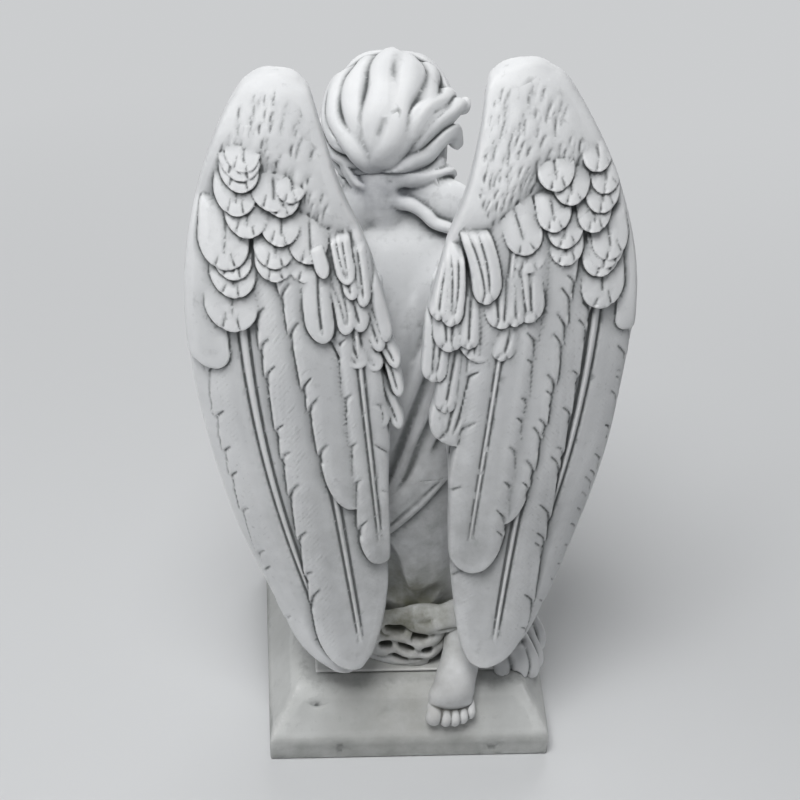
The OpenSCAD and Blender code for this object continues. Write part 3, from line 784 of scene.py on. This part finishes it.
def drape(clay):
    """Cloth that crosses the waist: soft folds over the small of the back and the upper cloth's rim."""
    for points, height, width in (
        ([(-24, 62, 382), (-12, 67, 340), (2, 69, 300), (14, 72, 262), (24, 72, 236)], 5, 5),
        ([(-8, 65, 394), (4, 67, 350), (16, 67, 310), (28, 66, 270), (36, 64, 244)], 4.5, 5),
        ([(-30, 60, 335), (-16, 66, 306), (-4, 71, 278), (8, 76, 252)], 4.5, 4),
        ([(-14, 65, 388), (-3, 68, 345), (9, 69, 304), (21, 71, 262), (30, 68, 240)], -4, 3.2),
        ([(-28, 60, 360), (-13, 67, 322), (-1, 71, 290), (11, 75, 256)], -4, 3.2),
        ([(-22, 57, 432), (-6, 63, 402), (6, 67, 368)], -3, 4),
        ([(6, 61, 428), (14, 64, 392), (24, 63, 350)], 3, 6),
        ([(-20, 64, 318), (-10, 69, 296), (-2, 73, 272)], -2.5, 2.5),
    ):
        clay.stroke(points, height, width)
    for shift, r in ((0, 4.5), (9, 6.5), (20, 7)):
        back = shift * 0.35
        clay.tube([(-40, 56 - back, 282 + shift, r), (-24, 67 - back, 264 + shift, r),
                   (-4, 73 - back, 240 + shift, r),
                   (14, 73 - back, 220 + shift, r), (26, 68 - back, 206 + shift, r),
                   (42, 54 - back, 192 + shift, r)], 3 + shift * 0.2)
    clay.stroke([(-34, 64, 276), (-6, 78, 246), (12, 78, 226), (26, 73, 208)], -2.2, 2.4)
    clay.stroke([(-14, 66, 290), (2, 75, 262), (18, 75, 238), (32, 66, 214)], 3.5, 5)


def pleats(clay, count, depth, low, high):
    """Upright folds all round a skirt; they wander and deepen towards the hem."""
    x, y, z = clay.grid()
    angle = np.arctan2(y, x - 2)
    wander = 0.5 * np.sin(z / 31) + 0.25 * np.sin(z / 13 + 3 * angle)
    waves = np.cos(count * angle + wander * 2) + 0.5 * np.cos((count - 4) * angle - wander * 3 + 1)
    amount = depth * np.clip((high - z) / (high - low), 0, 1) ** 0.8
    smooth_back = 1 - 0.65 * np.clip((y - 30) / 30, 0, 1)
    clay.field -= (amount * smooth_back * waves).astype(np.float32)


def build_torso_and_arms(material):
    low, high = (-96, -126, 250), (130, 92, 532)
    torso, right, left = (Clay(low, high, 1.0) for _ in range(3))
    loft(torso, TORSO)
    # shoulder blades, spine and chest
    for x in (-14, 46):
        torso.ellipsoid((x, 44, 425), (20, 16, 26), 10)
    torso.stroke([(17, 44, 460), (13, 62, 415), (8, 70, 350), (5, 70, 290)], -2.2, 7)
    for x in (-13, 37):
        torso.ellipsoid((x, -7, 398), (22, 14, 22), 18)
    # neckline of the gown
    torso.tube([(-58, 0, 440, 3), (-30, -14, 436, 3.5), (0, -22, 424, 3.5), (14, -24, 418, 3.5),
                (30, -22, 424, 3.5),
                (62, -14, 436, 3.5), (86, 0, 440, 3)], 3)
    nape(torso)
    # gathers of the bodice, below the neckline
    x, y, z = torso.grid()
    front = np.clip((14 - y) / 14, 0, 1) * np.clip((424 - z) / 22, 0, 1)
    gathers = np.cos((x - 8) / 2.1 + 0.9 * np.sin(z / 26) + 0.02 * (x - 8) * np.sin(z / 40))
    torso.field -= (1.5 * front * gathers).astype(np.float32)
    drape(torso)
    right.tube([(-50, 16, 441, 23), (-66, 6, 412, 20), (-66, -24, 362, 17.5), (-56, -50, 330, 16),
                (-24, -76, 292, 12.5), (-4, -90, 270, 9.5)], 4)
    hand(right, (-4, -90, 270), (24, -106, 252), (0.35, 0.9, 0.1), [(9, -3, -3), (17, -4, -7), (23, -3, -13)],
         [((2, -98, 268), 5.5), ((16, -110, 260), 4.6), ((28, -114, 256), 3.6)])
    left.tube([(78, 16, 441, 23), (96, 6, 412, 20), (104, -22, 362, 17.5), (104, -46, 332, 16),
               (88, -74, 302, 12.5), (74, -90, 284, 9.5)], 4)
    hand(left, (74, -90, 284), (50, -104, 269), (-0.3, 0.92, 0.1),
         [(-9, -3, -2), (-17, -3, -5), (-23, -2, -9)],
         [((68, -97, 282), 5.5), ((56, -110, 273), 4.4), ((46, -115, 268), 3.5)])
    # short sleeves
    right.tube([(-56, 12, 432, 25), (-66, 4, 410, 23.5)], 2, steps=1)
    left.tube([(84, 12, 432, 25), (96, 4, 410, 23.5)], 2, steps=1)
    bare = torso.field
    shoulder_planes = np.maximum(beyond(torso, (-56, 0, 0), (-1, 0, 0)), beyond(torso, (84, 0, 0), (1, 0, 0)))
    core = np.maximum(bare, shoulder_planes)
    joined = smooth_min(smooth_min(bare, right.field, 10), left.field, 10)
    for arm, node in ((right, "right_arm"), (left, "left_arm")):
        arm.field = np.maximum(smooth_min(arm.field, bare, 10), arm.field - 9)
        cast(node + "_bare", arm, node, material, keep=-core - FILLED, fineness=0.1)
    torso.field = np.maximum(joined, bare - 8)
    keep = np.maximum(np.maximum(shoulder_planes, beyond(torso, NECK, NECK_WAY)),
                      beyond(torso, (0, 0, WAIST), (0, 0, -1))) - FILLED
    cast("torso_in_gown", torso, "torso", material, keep=keep, fineness=0.1)


# Half widths of slab and plinth at the rear, in x and y, how much their sides widen to the front, and heights
SLAB = (81, 86)
PLINTH = (120, 125)
FLARE = 0.032
SLAB_TOP, PLINTH_TOP, BAND_TOP = 66, 62, 22
RISE, RUN = 40, 25  # the slope over the band


def slab_sides(clay, inset):
    """Distance outside the slab's four edges, which inset moves inwards."""
    ends = (beyond(clay, (0, way * (SLAB[1] - inset), 0), (0, way, 0)) for way in (1, -1))
    sides = (beyond(clay, (way * (SLAB[0] - inset), SLAB[1], 0), (way, FLARE, 0)) for way in (1, -1))
    return np.maximum(np.maximum(*ends), np.maximum(*sides))


def ground_field(clay):
    """The slab and the plinth below it, which nothing of the figure may enter."""
    slab = np.maximum(slab_sides(clay, 0), beyond(clay, (0, 0, SLAB_TOP), (0, 0, 1)))
    return np.minimum(slab, plinth_field(clay, 0))


def plinth_field(clay, inset):
    """The plinth: an upright band with a slope over it; inset moves all but the underside inwards."""
    wide, deep = PLINTH
    sides = []
    for way in (1, -1):
        y = way * (deep - inset)
        sides.append(beyond(clay, (0, y, 0), (0, way, 0)))
        sides.append(beyond(clay, (0, y, BAND_TOP), (0, way * RISE, RUN)))
    for way in (-1, 1):
        x = way * (wide - inset)
        sides.append(beyond(clay, (x, deep, 0), (way, FLARE, 0)))
        sides.append(beyond(clay, (x, deep, BAND_TOP), (way * RISE, FLARE * RISE, RUN)))
    sides.append(beyond(clay, (0, 0, PLINTH_TOP - inset), (0, 0, 1)))
    sides.append(beyond(clay, (0, 0, 0), (0, 0, -1)))
    out = sides[0]
    for d in sides[1:]:
        out = -smooth_min(-out, -d, 1.6)
    return out


# The right ankle, from under the gown to the sole, which the gown leaves room for
ANKLE = [(-46, 50, 92, 15), (-48, 66, 93, 15.5), (-46, 80, 90, 14.5), (-42, 94, 80, 14.5), (-36, 108, 66, 16)]


def build_gown(material):
    clay = Clay((-138, -126, 40), (96, 106, 270), 1.15)
    loft(clay, GOWN)
    clay.tube([(30, 28, 226, 33), (42, -38, 222, 31), (48, -80, 214, 26)], 12)
    clay.tube([(48, -80, 212, 25), (47, -68, 150, 26), (46, -50, 96, 27)], 10)
    clay.tube([(-28, 14, 190, 34), (-38, -40, 128, 30), (-42, -56, 98, 26)], 12)
    clay.tube([(-42, -20, 92, 25), (-41, 30, 91, 22), (-40, 60, 92, 17)], 8)
    clay.tube([(18, -22, 214, 36), (14, -30, 150, 38), (8, -34, 92, 42)], 14)
    # cloth that spills over the right-hand edge, in five uneven rolls
    clay.tube([(-40, 20, 96, 26), (-66, 40, 86, 22), (-90, 56, 72, 14)], 8)
    for path in (
        [(-54, 36, 106, 11), (-70, 62, 88, 9), (-80, 80, 68, 7), (-80, 88, 58, 5)],
        [(-58, 30, 108, 12), (-79, 58, 88, 10), (-93, 76, 66, 8), (-96, 84, 54, 5)],
        [(-62, 20, 104, 12), (-88, 46, 82, 11), (-104, 66, 62, 8.5), (-108, 73, 50, 5.5)],
        [(-64, 6, 100, 12), (-92, 32, 80, 10), (-111, 52, 60, 8), (-116, 58, 46, 6)],
        [(-64, -10, 94, 11), (-90, 14, 78, 10), (-110, 34, 62, 8), (-117, 40, 47, 5.5)],
    ):
        clay.tube(path, 4)
    for path in (
        [(-60, 52, 102), (-76, 72, 80), (-87, 86, 60)], [(-64, 44, 104), (-86, 66, 80), (-101, 80, 58)],
        [(-66, 32, 102), (-92, 56, 76), (-108, 70, 54)], [(-66, 14, 100), (-94, 38, 78), (-115, 58, 54)],
    ):
        clay.stroke(path, -3.5, 2.4)
    clay.stroke([(-68, 78, 86), (-88, 78, 84), (-106, 62, 78)], -2.2, 3)
    for hole, r in (((-89, 88, 57), 3.4), ((-103, 80, 53), 3.4), ((-112, 68, 50), 3)):
        clay.ellipsoid(hole, (r, r * 1.4, r * 1.2), 1.5, carve=True)
    for points, height, width in (
        ([(8, 80, 262), (20, 78, 242), (32, 70, 220)], -2.6, 4),
        ([(-10, 66, 236), (-18, 66, 190), (-22, 64, 150)], 2.4, 6),
        ([(8, 64, 210), (2, 66, 176), (-4, 64, 140)], 3, 6),
    ):
        clay.stroke(points, height, width)
    pleats(clay, 17, 3.2, 70, 246)
    drape(clay)
    # deep hollow under the skirt and the ruffled hem behind it
    clay.tube([(22, 72, 192, 4), (20, 70, 168, 11), (18, 66, 142, 14), (8, 71, 129, 12), (-8, 73, 126, 11),
               (-20, 69, 129, 12), (-30, 66, 138, 8)], 2.5, carve=True)
    clay.ellipsoid((-12, 72, 118), (22, 9, 8), 5)
    clay.tube([(34, 52, 88, 17), (12, 60, 86, 17), (-6, 60, 88, 17), (-26, 58, 94, 14)], 6)
    for ruffle in (
        [(40, 54, 114, 8), (27, 66, 108, 6.5), (17, 72, 112, 6), (7, 74, 117, 5), (-4, 76, 110, 5.5),
         (-15, 76, 108, 7),
         (-28, 74, 116, 7.5), (-40, 70, 122, 7)],
        [(36, 62, 98, 7), (24, 70, 92, 6), (15, 75, 100, 5.5), (5, 77, 97, 6), (-6, 78, 88, 5),
         (-15, 77, 92, 6.5),
         (-24, 74, 102, 7)],
        [(34, 64, 80, 7), (22, 72, 80, 6.5), (11, 77, 87, 5), (1, 79, 82, 6), (-8, 78, 76, 5),
         (-18, 76, 80, 6),
         (-26, 72, 88, 6)],
        [(32, 66, 69, 6), (14, 74, 70, 5.5), (2, 76, 71, 5), (-12, 76, 69, 5.5)],
    ):
        clay.tube(ruffle, 3.5, flat=0.8, across=(0, 1, 0.4))
    for hole, radii, lean in (
        ((13, 76, 105), (9, 16, 5), -15), ((-8, 79, 98), (8, 16, 4.5), 20), ((3, 80, 88), (8, 14, 4), -25),
        ((-15, 80, 84), (5, 13, 4.5), 30), ((20, 74, 87), (6, 14, 4.5), 15), ((8, 80, 75), (7, 10, 2.5), -10),
    ):
        clay.ellipsoid(hole, radii, 2.5, turn=(0, lean, 0), carve=True)
    for points, depth in (
        ([(30, 70, 102), (20, 78, 98), (10, 82, 108), (-2, 84, 102), (-14, 83, 98)], -3.5),
        ([(28, 72, 86), (16, 80, 92), (6, 84, 91), (-6, 85, 83), (-18, 82, 88)], -3.5),
        ([(26, 72, 75), (12, 80, 79), (-2, 83, 76), (-16, 81, 74)], -3.0),
        ([(8, 80, 124), (0, 82, 114), (-4, 82, 106)], -2.5),
        ([(-16, 80, 118), (-20, 82, 108), (-18, 82, 98)], -2.5),
    ):
        clay.stroke(points, depth, 1.8)
    # cloth over the right heel
    clay.tube([(-12, 74, 106, 6), (-28, 76, 112, 8), (-46, 70, 112, 9), (-62, 58, 106, 9)], 4)
    clay.tube([(-60, 56, 116, 10), (-64, 60, 98, 9), (-66, 60, 82, 8)], 5)
    clay.stroke([(-18, 82, 108), (-34, 84, 110), (-50, 78, 108)], -2.4, 2.2)
    # gathers over the knees and down the front and the sides
    for points, height, width in (
        ([(20, -60, 236), (30, -100, 200), (26, -92, 140), (22, -84, 80)], 3.4, 5),
        ([(60, -50, 238), (68, -90, 200), (66, -86, 140), (64, -76, 80)], 3.0, 5),
        ([(0, -40, 236), (4, -66, 190), (0, -72, 130), (-4, -78, 76)], 3.6, 6),
        ([(-16, -26, 226), (-18, -58, 180), (-14, -72, 120), (-16, -82, 76)], -3.0, 6),
        ([(-34, -20, 220), (-46, -66, 150), (-48, -84, 110), (-46, -86, 76)], 3.2, 6),
        ([(-50, -6, 216), (-66, -40, 150), (-70, -56, 110), (-70, -58, 76)], 3.2, 6),
        ([(-56, 20, 220), (-64, -6, 160), (-70, -14, 110), (-72, -18, 76)], 3.0, 6),
        ([(62, 16, 220), (68, -6, 160), (72, -10, 110), (74, -14, 76)], 3.2, 6),
        ([(58, 40, 210), (62, 24, 150), (68, 22, 104), (70, 20, 76)], 3.0, 6),
        ([(50, 56, 200), (52, 44, 150), (56, 42, 104), (58, 42, 76)], 2.6, 6),
        ([(46, -104, 214), (47, -98, 170), (44, -84, 110), (44, -80, 80)], -2.0, 6),
        ([(-56, 34, 180), (-60, 34, 140), (-62, 40, 110)], 2.8, 6),
        ([(30, -30, 255), (44, -70, 240), (60, -96, 222)], 2.2, 5),
        ([(16, -20, 250), (26, -64, 240), (38, -98, 226)], 2.2, 5),
    ):
        clay.stroke(points, height, width)
    keep = np.maximum(beyond(clay, (0, 0, WAIST + FILLED), (0, 0, 1)), -ground_field(clay))
    foot = Clay(clay.low, clay.axes_high(), clay.voxel)
    foot.tube(ANKLE, 4)
    foot.field = np.maximum(foot.field, beyond(foot, (0, 60, 0), (0, -1, 0)))
    keep = np.maximum(keep, -foot.field)
    cast("gown_draped", clay, "gown_skirt", material, keep=keep, fineness=0.1)


def build_feet(material):
    # the right foot hangs over the rear slope with its sole up
    clay = Clay((-72, 48, 28), (-4, 136, 128), 0.7)
    clay.tube(ANKLE, 4)
    clay.ellipsoid((-46, 80, 96), (14, 14, 12), 6)
    clay.ellipsoid((-26, 112, 61), (11, 9, 11), 5, turn=(-35, 0, 0))
    clay.ellipsoid((-43, 110, 61), (10, 8, 11), 5, turn=(-35, 0, 0))
    clay.ellipsoid((-34, 115, 56), (18, 7, 8), 4, turn=(-35, 0, 0))
    clay.stroke([(-14, 119, 52), (-24, 123, 50), (-36, 124, 49), (-50, 119, 51)], -2.8, 2.2)
    for x, y, z, r in ((-20, 121, 45, 6.8), (-30, 124, 43.5, 4.7), (-37.5, 124, 43.5, 4.5),
                       (-44.5, 122.5, 44.5, 4.2),
                       (-51, 119.5, 46.5, 3.9)):
        clay.tube([(x, y - 6, z + 6, r * 0.85), (x, y, z + 2, r * 0.95), (x + 0.5, y, z - 2, r)], 0.9)
    keep = np.maximum(beyond(clay, (0, 60, 0), (0, -1, 0)), -ground_field(clay))
    cast("right_foot_bare", clay, "right_foot", material, keep=keep)
    # the left forefoot under the front hem
    clay = Clay((20, -126, 60), (74, -40, 104), 0.7)
    clay.tube([(46, -50, 84, 14), (46, -66, 80, 14), (46, -84, 75, 12)], 4)
    clay.ellipsoid((46, -84, 71), (16, 14, 8), 5)
    for x, length, r in ((35, 22, 5.6), (43, 21, 4.4), (50, 19, 4.1), (56, 16, 3.8), (61, 12, 3.5)):
        clay.tube([(x, -84, 73, r), (x, -88 - length * 0.4, 71, r * 0.9), (x, -84 - length, 69, r)], 1.2)
    cast("left_foot_bare", clay, "left_foot", material, keep=-ground_field(clay))


def build_plinth(material):
    clay, wall = Clay((-131, -128, -3), (131, 128, 65), 1.5), 12
    clay.field = np.maximum(plinth_field(clay, 0), -plinth_field(clay, wall)).astype(np.float32)
    corners = [(-104, -101), (104, -101), (96, 101), (-96, 101)]
    # posts that the base plate is screwed to
    posts = Clay(clay.low, clay.axes_high(), clay.voxel)
    for x, y in corners:
        posts.tube([(x, y, 0, 8), (x, y, 60, 8)], 1, steps=1)
    posts.field = np.maximum(np.maximum(posts.field, beyond(posts, (0, 0, 4), (0, 0, -1))),
                             plinth_field(posts, 6))
    clay.field = np.minimum(clay.field, posts.field)
    clay.field = np.maximum(clay.field, beyond(clay, (0, 0, 0), (0, 0, -1)))
    # chips
    for place in [(60, 125, 12), (-70, 125, 8), (20, 112, 44), (-110, 60, 40), (116, -30, 14), (80, 108, 50)]:
        clay.ellipsoid(place, (5, 1.6, 4), 2, carve=True)
    cast("plinth_block", clay, "plinth", material, fineness=0.3)
    clay = Clay((-92, -90, 60), (92, 90, 69), 0.9)
    slab = slab_sides(clay, 0.4)
    slab = slab + 1.6 * np.clip(beyond(clay, (0, 0, 63.6), (0, 0, -1)), 0, 1)
    upright = np.maximum(beyond(clay, (0, 0, SLAB_TOP), (0, 0, 1)),
                         beyond(clay, (0, 0, PLINTH_TOP), (0, 0, -1)))
    clay.field = -smooth_min(-slab, -upright, 1.2).astype(np.float32)
    cast("slab_plate", clay, "ground_slab", material, fineness=0.3)


# ------------------------------------------------------------------ materials


def shader(name):
    material = bpy.data.materials.new(name)
    material.use_nodes = True
    tree = material.node_tree
    tree.nodes.clear()
    out = tree.nodes.new("ShaderNodeOutputMaterial")
    bsdf = tree.nodes.new("ShaderNodeBsdfPrincipled")
    tree.links.new(bsdf.outputs[0], out.inputs[0])
    return material, tree, bsdf


def noise(tree, scale, detail):
    n = tree.nodes.new("ShaderNodeTexNoise")
    n.inputs["Scale"].default_value = scale
    n.inputs["Detail"].default_value = detail
    n.inputs["Roughness"].default_value = 0.6
    tree.links.new(tree.nodes.new("ShaderNodeTexCoord").outputs["Object"], n.inputs["Vector"])
    return n.outputs["Fac"]


def graded(tree, value, stops):
    """A colour ramp; stops are (position, grey or colour)."""
    n = tree.nodes.new("ShaderNodeValToRGB")
    n.color_ramp.elements.remove(n.color_ramp.elements[1])
    for i, (at, colour) in enumerate(stops):
        e = n.color_ramp.elements[0] if i == 0 else n.color_ramp.elements.new(at)
        e.position = at
        c = (colour,) * 3 if isinstance(colour, (int, float)) else colour
        e.color = (*c, 1)
    tree.links.new(value, n.inputs[0])
    return n.outputs[0]


def mixed(tree, amount, a, b):
    n = tree.nodes.new("ShaderNodeMix")
    n.data_type = "RGBA"
    for socket, value in ((n.inputs[0], amount), (n.inputs[6], a), (n.inputs[7], b)):
        if isinstance(value, (int, float)):
            socket.default_value = value
        elif isinstance(value, tuple):
            socket.default_value = (*value, 1)
        else:
            tree.links.new(value, socket)
    return n.outputs[2]


def maths(tree, kind, a, b):
    n = tree.nodes.new("ShaderNodeMath")
    n.operation = kind
    for socket, value in zip(n.inputs, (a, b)):
        if isinstance(value, (int, float)):
            socket.default_value = value
        else:
            tree.links.new(value, socket)
    return n.outputs[0]


def times(tree, a, b):
    return maths(tree, "MULTIPLY", a, b)


def attribute(tree, name):
    n = tree.nodes.new("ShaderNodeAttribute")
    n.attribute_name = name
    return n.outputs["Fac"]


def stains_and_painted_shade(tree, colour):
    """Algae and a dull patch low between the wings, painted shade higher up between them and bluish painted
    shade on the nape, and soil on the plinth's band.
    """
    place = tree.nodes.new("ShaderNodeTexCoord").outputs["Object"]
    for centre, radius, strength, tint in (
        # the first entry is painted shade over the small of the back and the skirt between the wings, the
        # second a bluish painted shade on the nape
        ((0, 0.07, 0.22), 0.17, 0.65, (0.20, 0.205, 0.20)),
        ((0.03, 0.035, 0.505), 0.04, 0.9, (0.20, 0.21, 0.24)),
        ((0.0, 0.07, 0.12), 0.065, 1.1, (0.16, 0.16, 0.11)),
        ((0, 0.125, 0.06), 0.09, 0.6, (0.26, 0.25, 0.22)),
    ):
        reach = tree.nodes.new("ShaderNodeVectorMath")
        reach.operation = "DISTANCE"
        reach.inputs[1].default_value = centre
        tree.links.new(place, reach.inputs[0])
        near = graded(tree, reach.outputs["Value"], [(0.0, 1.0), (radius, 0.0)])
        patchy = graded(tree, noise(tree, 60, 5), [(0.25, 0.3), (0.65, 1.0)])
        amount = times(tree, times(tree, near, patchy), strength)
        colour = mixed(tree, maths(tree, "MINIMUM", amount, 0.9), colour, tint)
    split = tree.nodes.new("ShaderNodeSeparateXYZ")
    tree.links.new(place, split.inputs[0])
    band = graded(tree, split.outputs["Z"], [(0.0, 1.0), (0.022, 0.75), (0.026, 0.0)])
    blotchy = graded(tree, noise(tree, 45, 6), [(0.3, 0.25), (0.7, 1.0)])
    return mixed(tree, times(tree, times(tree, band, blotchy), 0.6), colour,
                 (0.16, 0.165, 0.15))


def weathered_and_shaded_stone(name, pale=(0.78, 0.79, 0.80), dull=(0.52, 0.53, 0.545), sculpted=True):
    """Cast stone. On sculpted pieces, hollows are painted with shade, crevices with soiling and shade, and
    convex edges with a highlight.
    """
    # colours of the painted shade in hollows, of soiling with painted shade in crevices, and of the painted
    # highlight on edges
    painted_shade, dirt_and_painted_shade, painted_highlight = (0.14, 0.15, 0.155), (0.07, 0.075, 0.075), (0.90, 0.90, 0.90)
    material, tree, bsdf = shader(name)
    patches = graded(tree, noise(tree, 9, 5), [(0.35, 0.0), (0.7, 1.0)])
    colour = mixed(tree, times(tree, patches, 0.55), pale, dull)
    speckle = graded(tree, noise(tree, 900, 3), [(0.62, 0.0), (0.72, 1.0)])
    colour = mixed(tree, times(tree, speckle, 0.25), colour, dull)
    if sculpted:
        broken = noise(tree, 160, 6)
        crevice = maths(tree, "ADD", attribute(tree, "crevice"), times(tree, broken, 0.10))
        # painted shade: the more solid lies within 7 mm of a point, the darker it is painted, flat faces a
        # little too
        hollow = graded(tree, attribute(tree, "hollow"), [(0.465, 0.0), (0.64, 1.0)])
        colour = mixed(tree, times(tree, hollow, 0.80), colour, painted_shade)
        # soiling and painted shade along fine crevices
        fine = graded(tree, crevice, [(0.56, 0.0), (0.66, 1.0)])
        colour = mixed(tree, times(tree, fine, 0.85), colour, dirt_and_painted_shade)
        # painted highlight: convex edges, with little solid round them, are painted paler
        painted_highlight_mask = graded(tree, attribute(tree, "crevice"), [(0.32, 1.0), (0.48, 0.0)])
        colour = mixed(tree, times(tree, painted_highlight_mask, 0.7), colour, painted_highlight)
        colour = stains_and_painted_shade(tree, colour)
    tree.links.new(colour, bsdf.inputs["Base Color"])
    bsdf.inputs["Roughness"].default_value = 0.78
    bsdf.inputs["Specular IOR Level"].default_value = 0.3
    grain = maths(tree, "ADD", times(tree, noise(tree, 1400, 2), 0.5), noise(tree, 260, 6))
    bumps = tree.nodes.new("ShaderNodeBump")
    bumps.inputs["Strength"].default_value = 0.35
    bumps.inputs["Distance"].default_value = 0.0006
    tree.links.new(grain, bumps.inputs["Height"])
    tree.links.new(bumps.outputs[0], bsdf.inputs["Normal"])
    return material


def brushed_steel():
    material, tree, bsdf = shader("steel")
    bsdf.inputs["Base Color"].default_value = (0.58, 0.58, 0.57, 1)
    bsdf.inputs["Metallic"].default_value = 1.0
    rough = maths(tree, "ADD", times(tree, noise(tree, 700, 4), 0.25), 0.25)
    tree.links.new(rough, bsdf.inputs["Roughness"])
    return material


# ------------------------------------------------------------------ stage


BACKDROP = (0.60, 0.61, 0.62)
FLOOR = 6.0  # half its width


def shows_backdrop(tree):
    """1 on the rays that show the background: from the camera, and by way of metal or glass."""
    path = tree.nodes.new("ShaderNodeLightPath")
    seen = maths(tree, "MAXIMUM", path.outputs["Is Camera Ray"], path.outputs["Is Glossy Ray"])
    return maths(tree, "MAXIMUM", seen, path.outputs["Is Transmission Ray"])


def studio():
    scene = bpy.context.scene
    scene.view_settings.view_transform = "Standard"
    world = bpy.data.worlds.new("studio")
    scene.world = world
    world.use_nodes = True
    tree = world.node_tree
    back = tree.nodes["Background"]
    back.inputs["Color"].default_value = (*BACKDROP, 1)
    strength = maths(tree, "ADD", times(tree, shows_backdrop(tree), 0.8), 0.2)
    tree.links.new(strength, back.inputs["Strength"])
    floor_mesh = bpy.data.meshes.new("floor")
    corners = [(x * FLOOR, y * FLOOR, 0) for x, y in ((-1, -1), (1, -1), (1, 1), (-1, 1))]
    floor_mesh.from_pydata(corners, [], [(0, 1, 2, 3)])
    floor = bpy.data.objects.new("floor", floor_mesh)
    scene.collection.objects.link(floor)
    material, tree, bsdf = shader("floor")
    bsdf.inputs["Base Color"].default_value = (0.62, 0.63, 0.64, 1)
    bsdf.inputs["Roughness"].default_value = 0.9
    # away from the object, the floor takes the backdrop's colour
    place = tree.nodes.new("ShaderNodeTexCoord").outputs["Object"]
    far = tree.nodes.new("ShaderNodeVectorMath")
    far.operation = "LENGTH"
    tree.links.new(place, far.inputs[0])
    away = maths(tree, "SUBTRACT", far.outputs["Value"], 0.35)
    away = graded(tree, away, [(0.0, 0.0), (1.0, 1.0)])
    glow = tree.nodes.new("ShaderNodeEmission")
    glow.inputs["Color"].default_value = (*BACKDROP, 1)
    mix = tree.nodes.new("ShaderNodeMixShader")
    tree.links.new(times(tree, away, shows_backdrop(tree)), mix.inputs[0])
    tree.links.new(bsdf.outputs[0], mix.inputs[1])
    tree.links.new(glow.outputs[0], mix.inputs[2])
    tree.links.new(mix.outputs[0], tree.nodes["Material Output"].inputs[0])
    floor.data.materials.append(material)
    for name, place, size, power in (
        ("sky", (0.4, 0.9, 2.4), 1.1, 46), ("side", (2.0, 0.3, 1.0), 0.9, 6),
        ("front", (-0.5, -2.2, 1.3), 1.6, 24),
    ):
        lamp = bpy.data.lights.new(name, "AREA")
        lamp.size, lamp.energy = size, power
        obj = bpy.data.objects.new(name, lamp)
        obj.location = place
        aim(obj, (0, 0, 0.3))
        scene.collection.objects.link(obj)


def aim(obj, target, roll=0.0):
    way = Vector(target) - Vector(obj.location)
    straight = way.to_track_quat("-Z", "Y").to_matrix()
    obj.rotation_euler = (straight @ Matrix.Rotation(roll, 3, "Z")).to_euler()


def camera():
    """The view from behind and above."""
    azimuth, elevation, roll = math.radians(4.1), math.radians(34), math.radians(1.9)
    target = (0.0097, 0.0, 0.2884)
    distance = 1.3
    lens = bpy.data.cameras.new("camera")
    lens.sensor_width, lens.lens = 36, 70.65
    obj = bpy.data.objects.new("camera", lens)
    obj.location = (
        target[0] + distance * math.sin(azimuth) * math.cos(elevation),
        target[1] + distance * math.cos(azimuth) * math.cos(elevation),
        target[2] + distance * math.sin(elevation),
    )
    aim(obj, target, roll)
    bpy.context.scene.collection.objects.link(obj)
    bpy.context.scene.camera = obj


camera()
studio()
stone = weathered_and_shaded_stone("weathered_and_shaded_stone")
block = weathered_and_shaded_stone("weathered_and_shaded_plinth", (0.68, 0.69, 0.68), (0.32, 0.33, 0.32))
plain = weathered_and_shaded_stone("weathered_plain", sculpted=False)
steel = brushed_steel()
STEEL_NODES = ("armature_rod", "armature_nut", "armature_washer", "base_plate_screws", "foot_pins",
               "shoulder_pins", "neck_pin", "wing_pins")
for name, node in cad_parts.items():
    node.data.materials.clear()
    node.data.materials.append(steel if name in STEEL_NODES else plain)
build_wings(stone)
build_head(stone)
build_torso_and_arms(stone)
build_gown(stone)
build_feet(stone)
build_plinth(block)
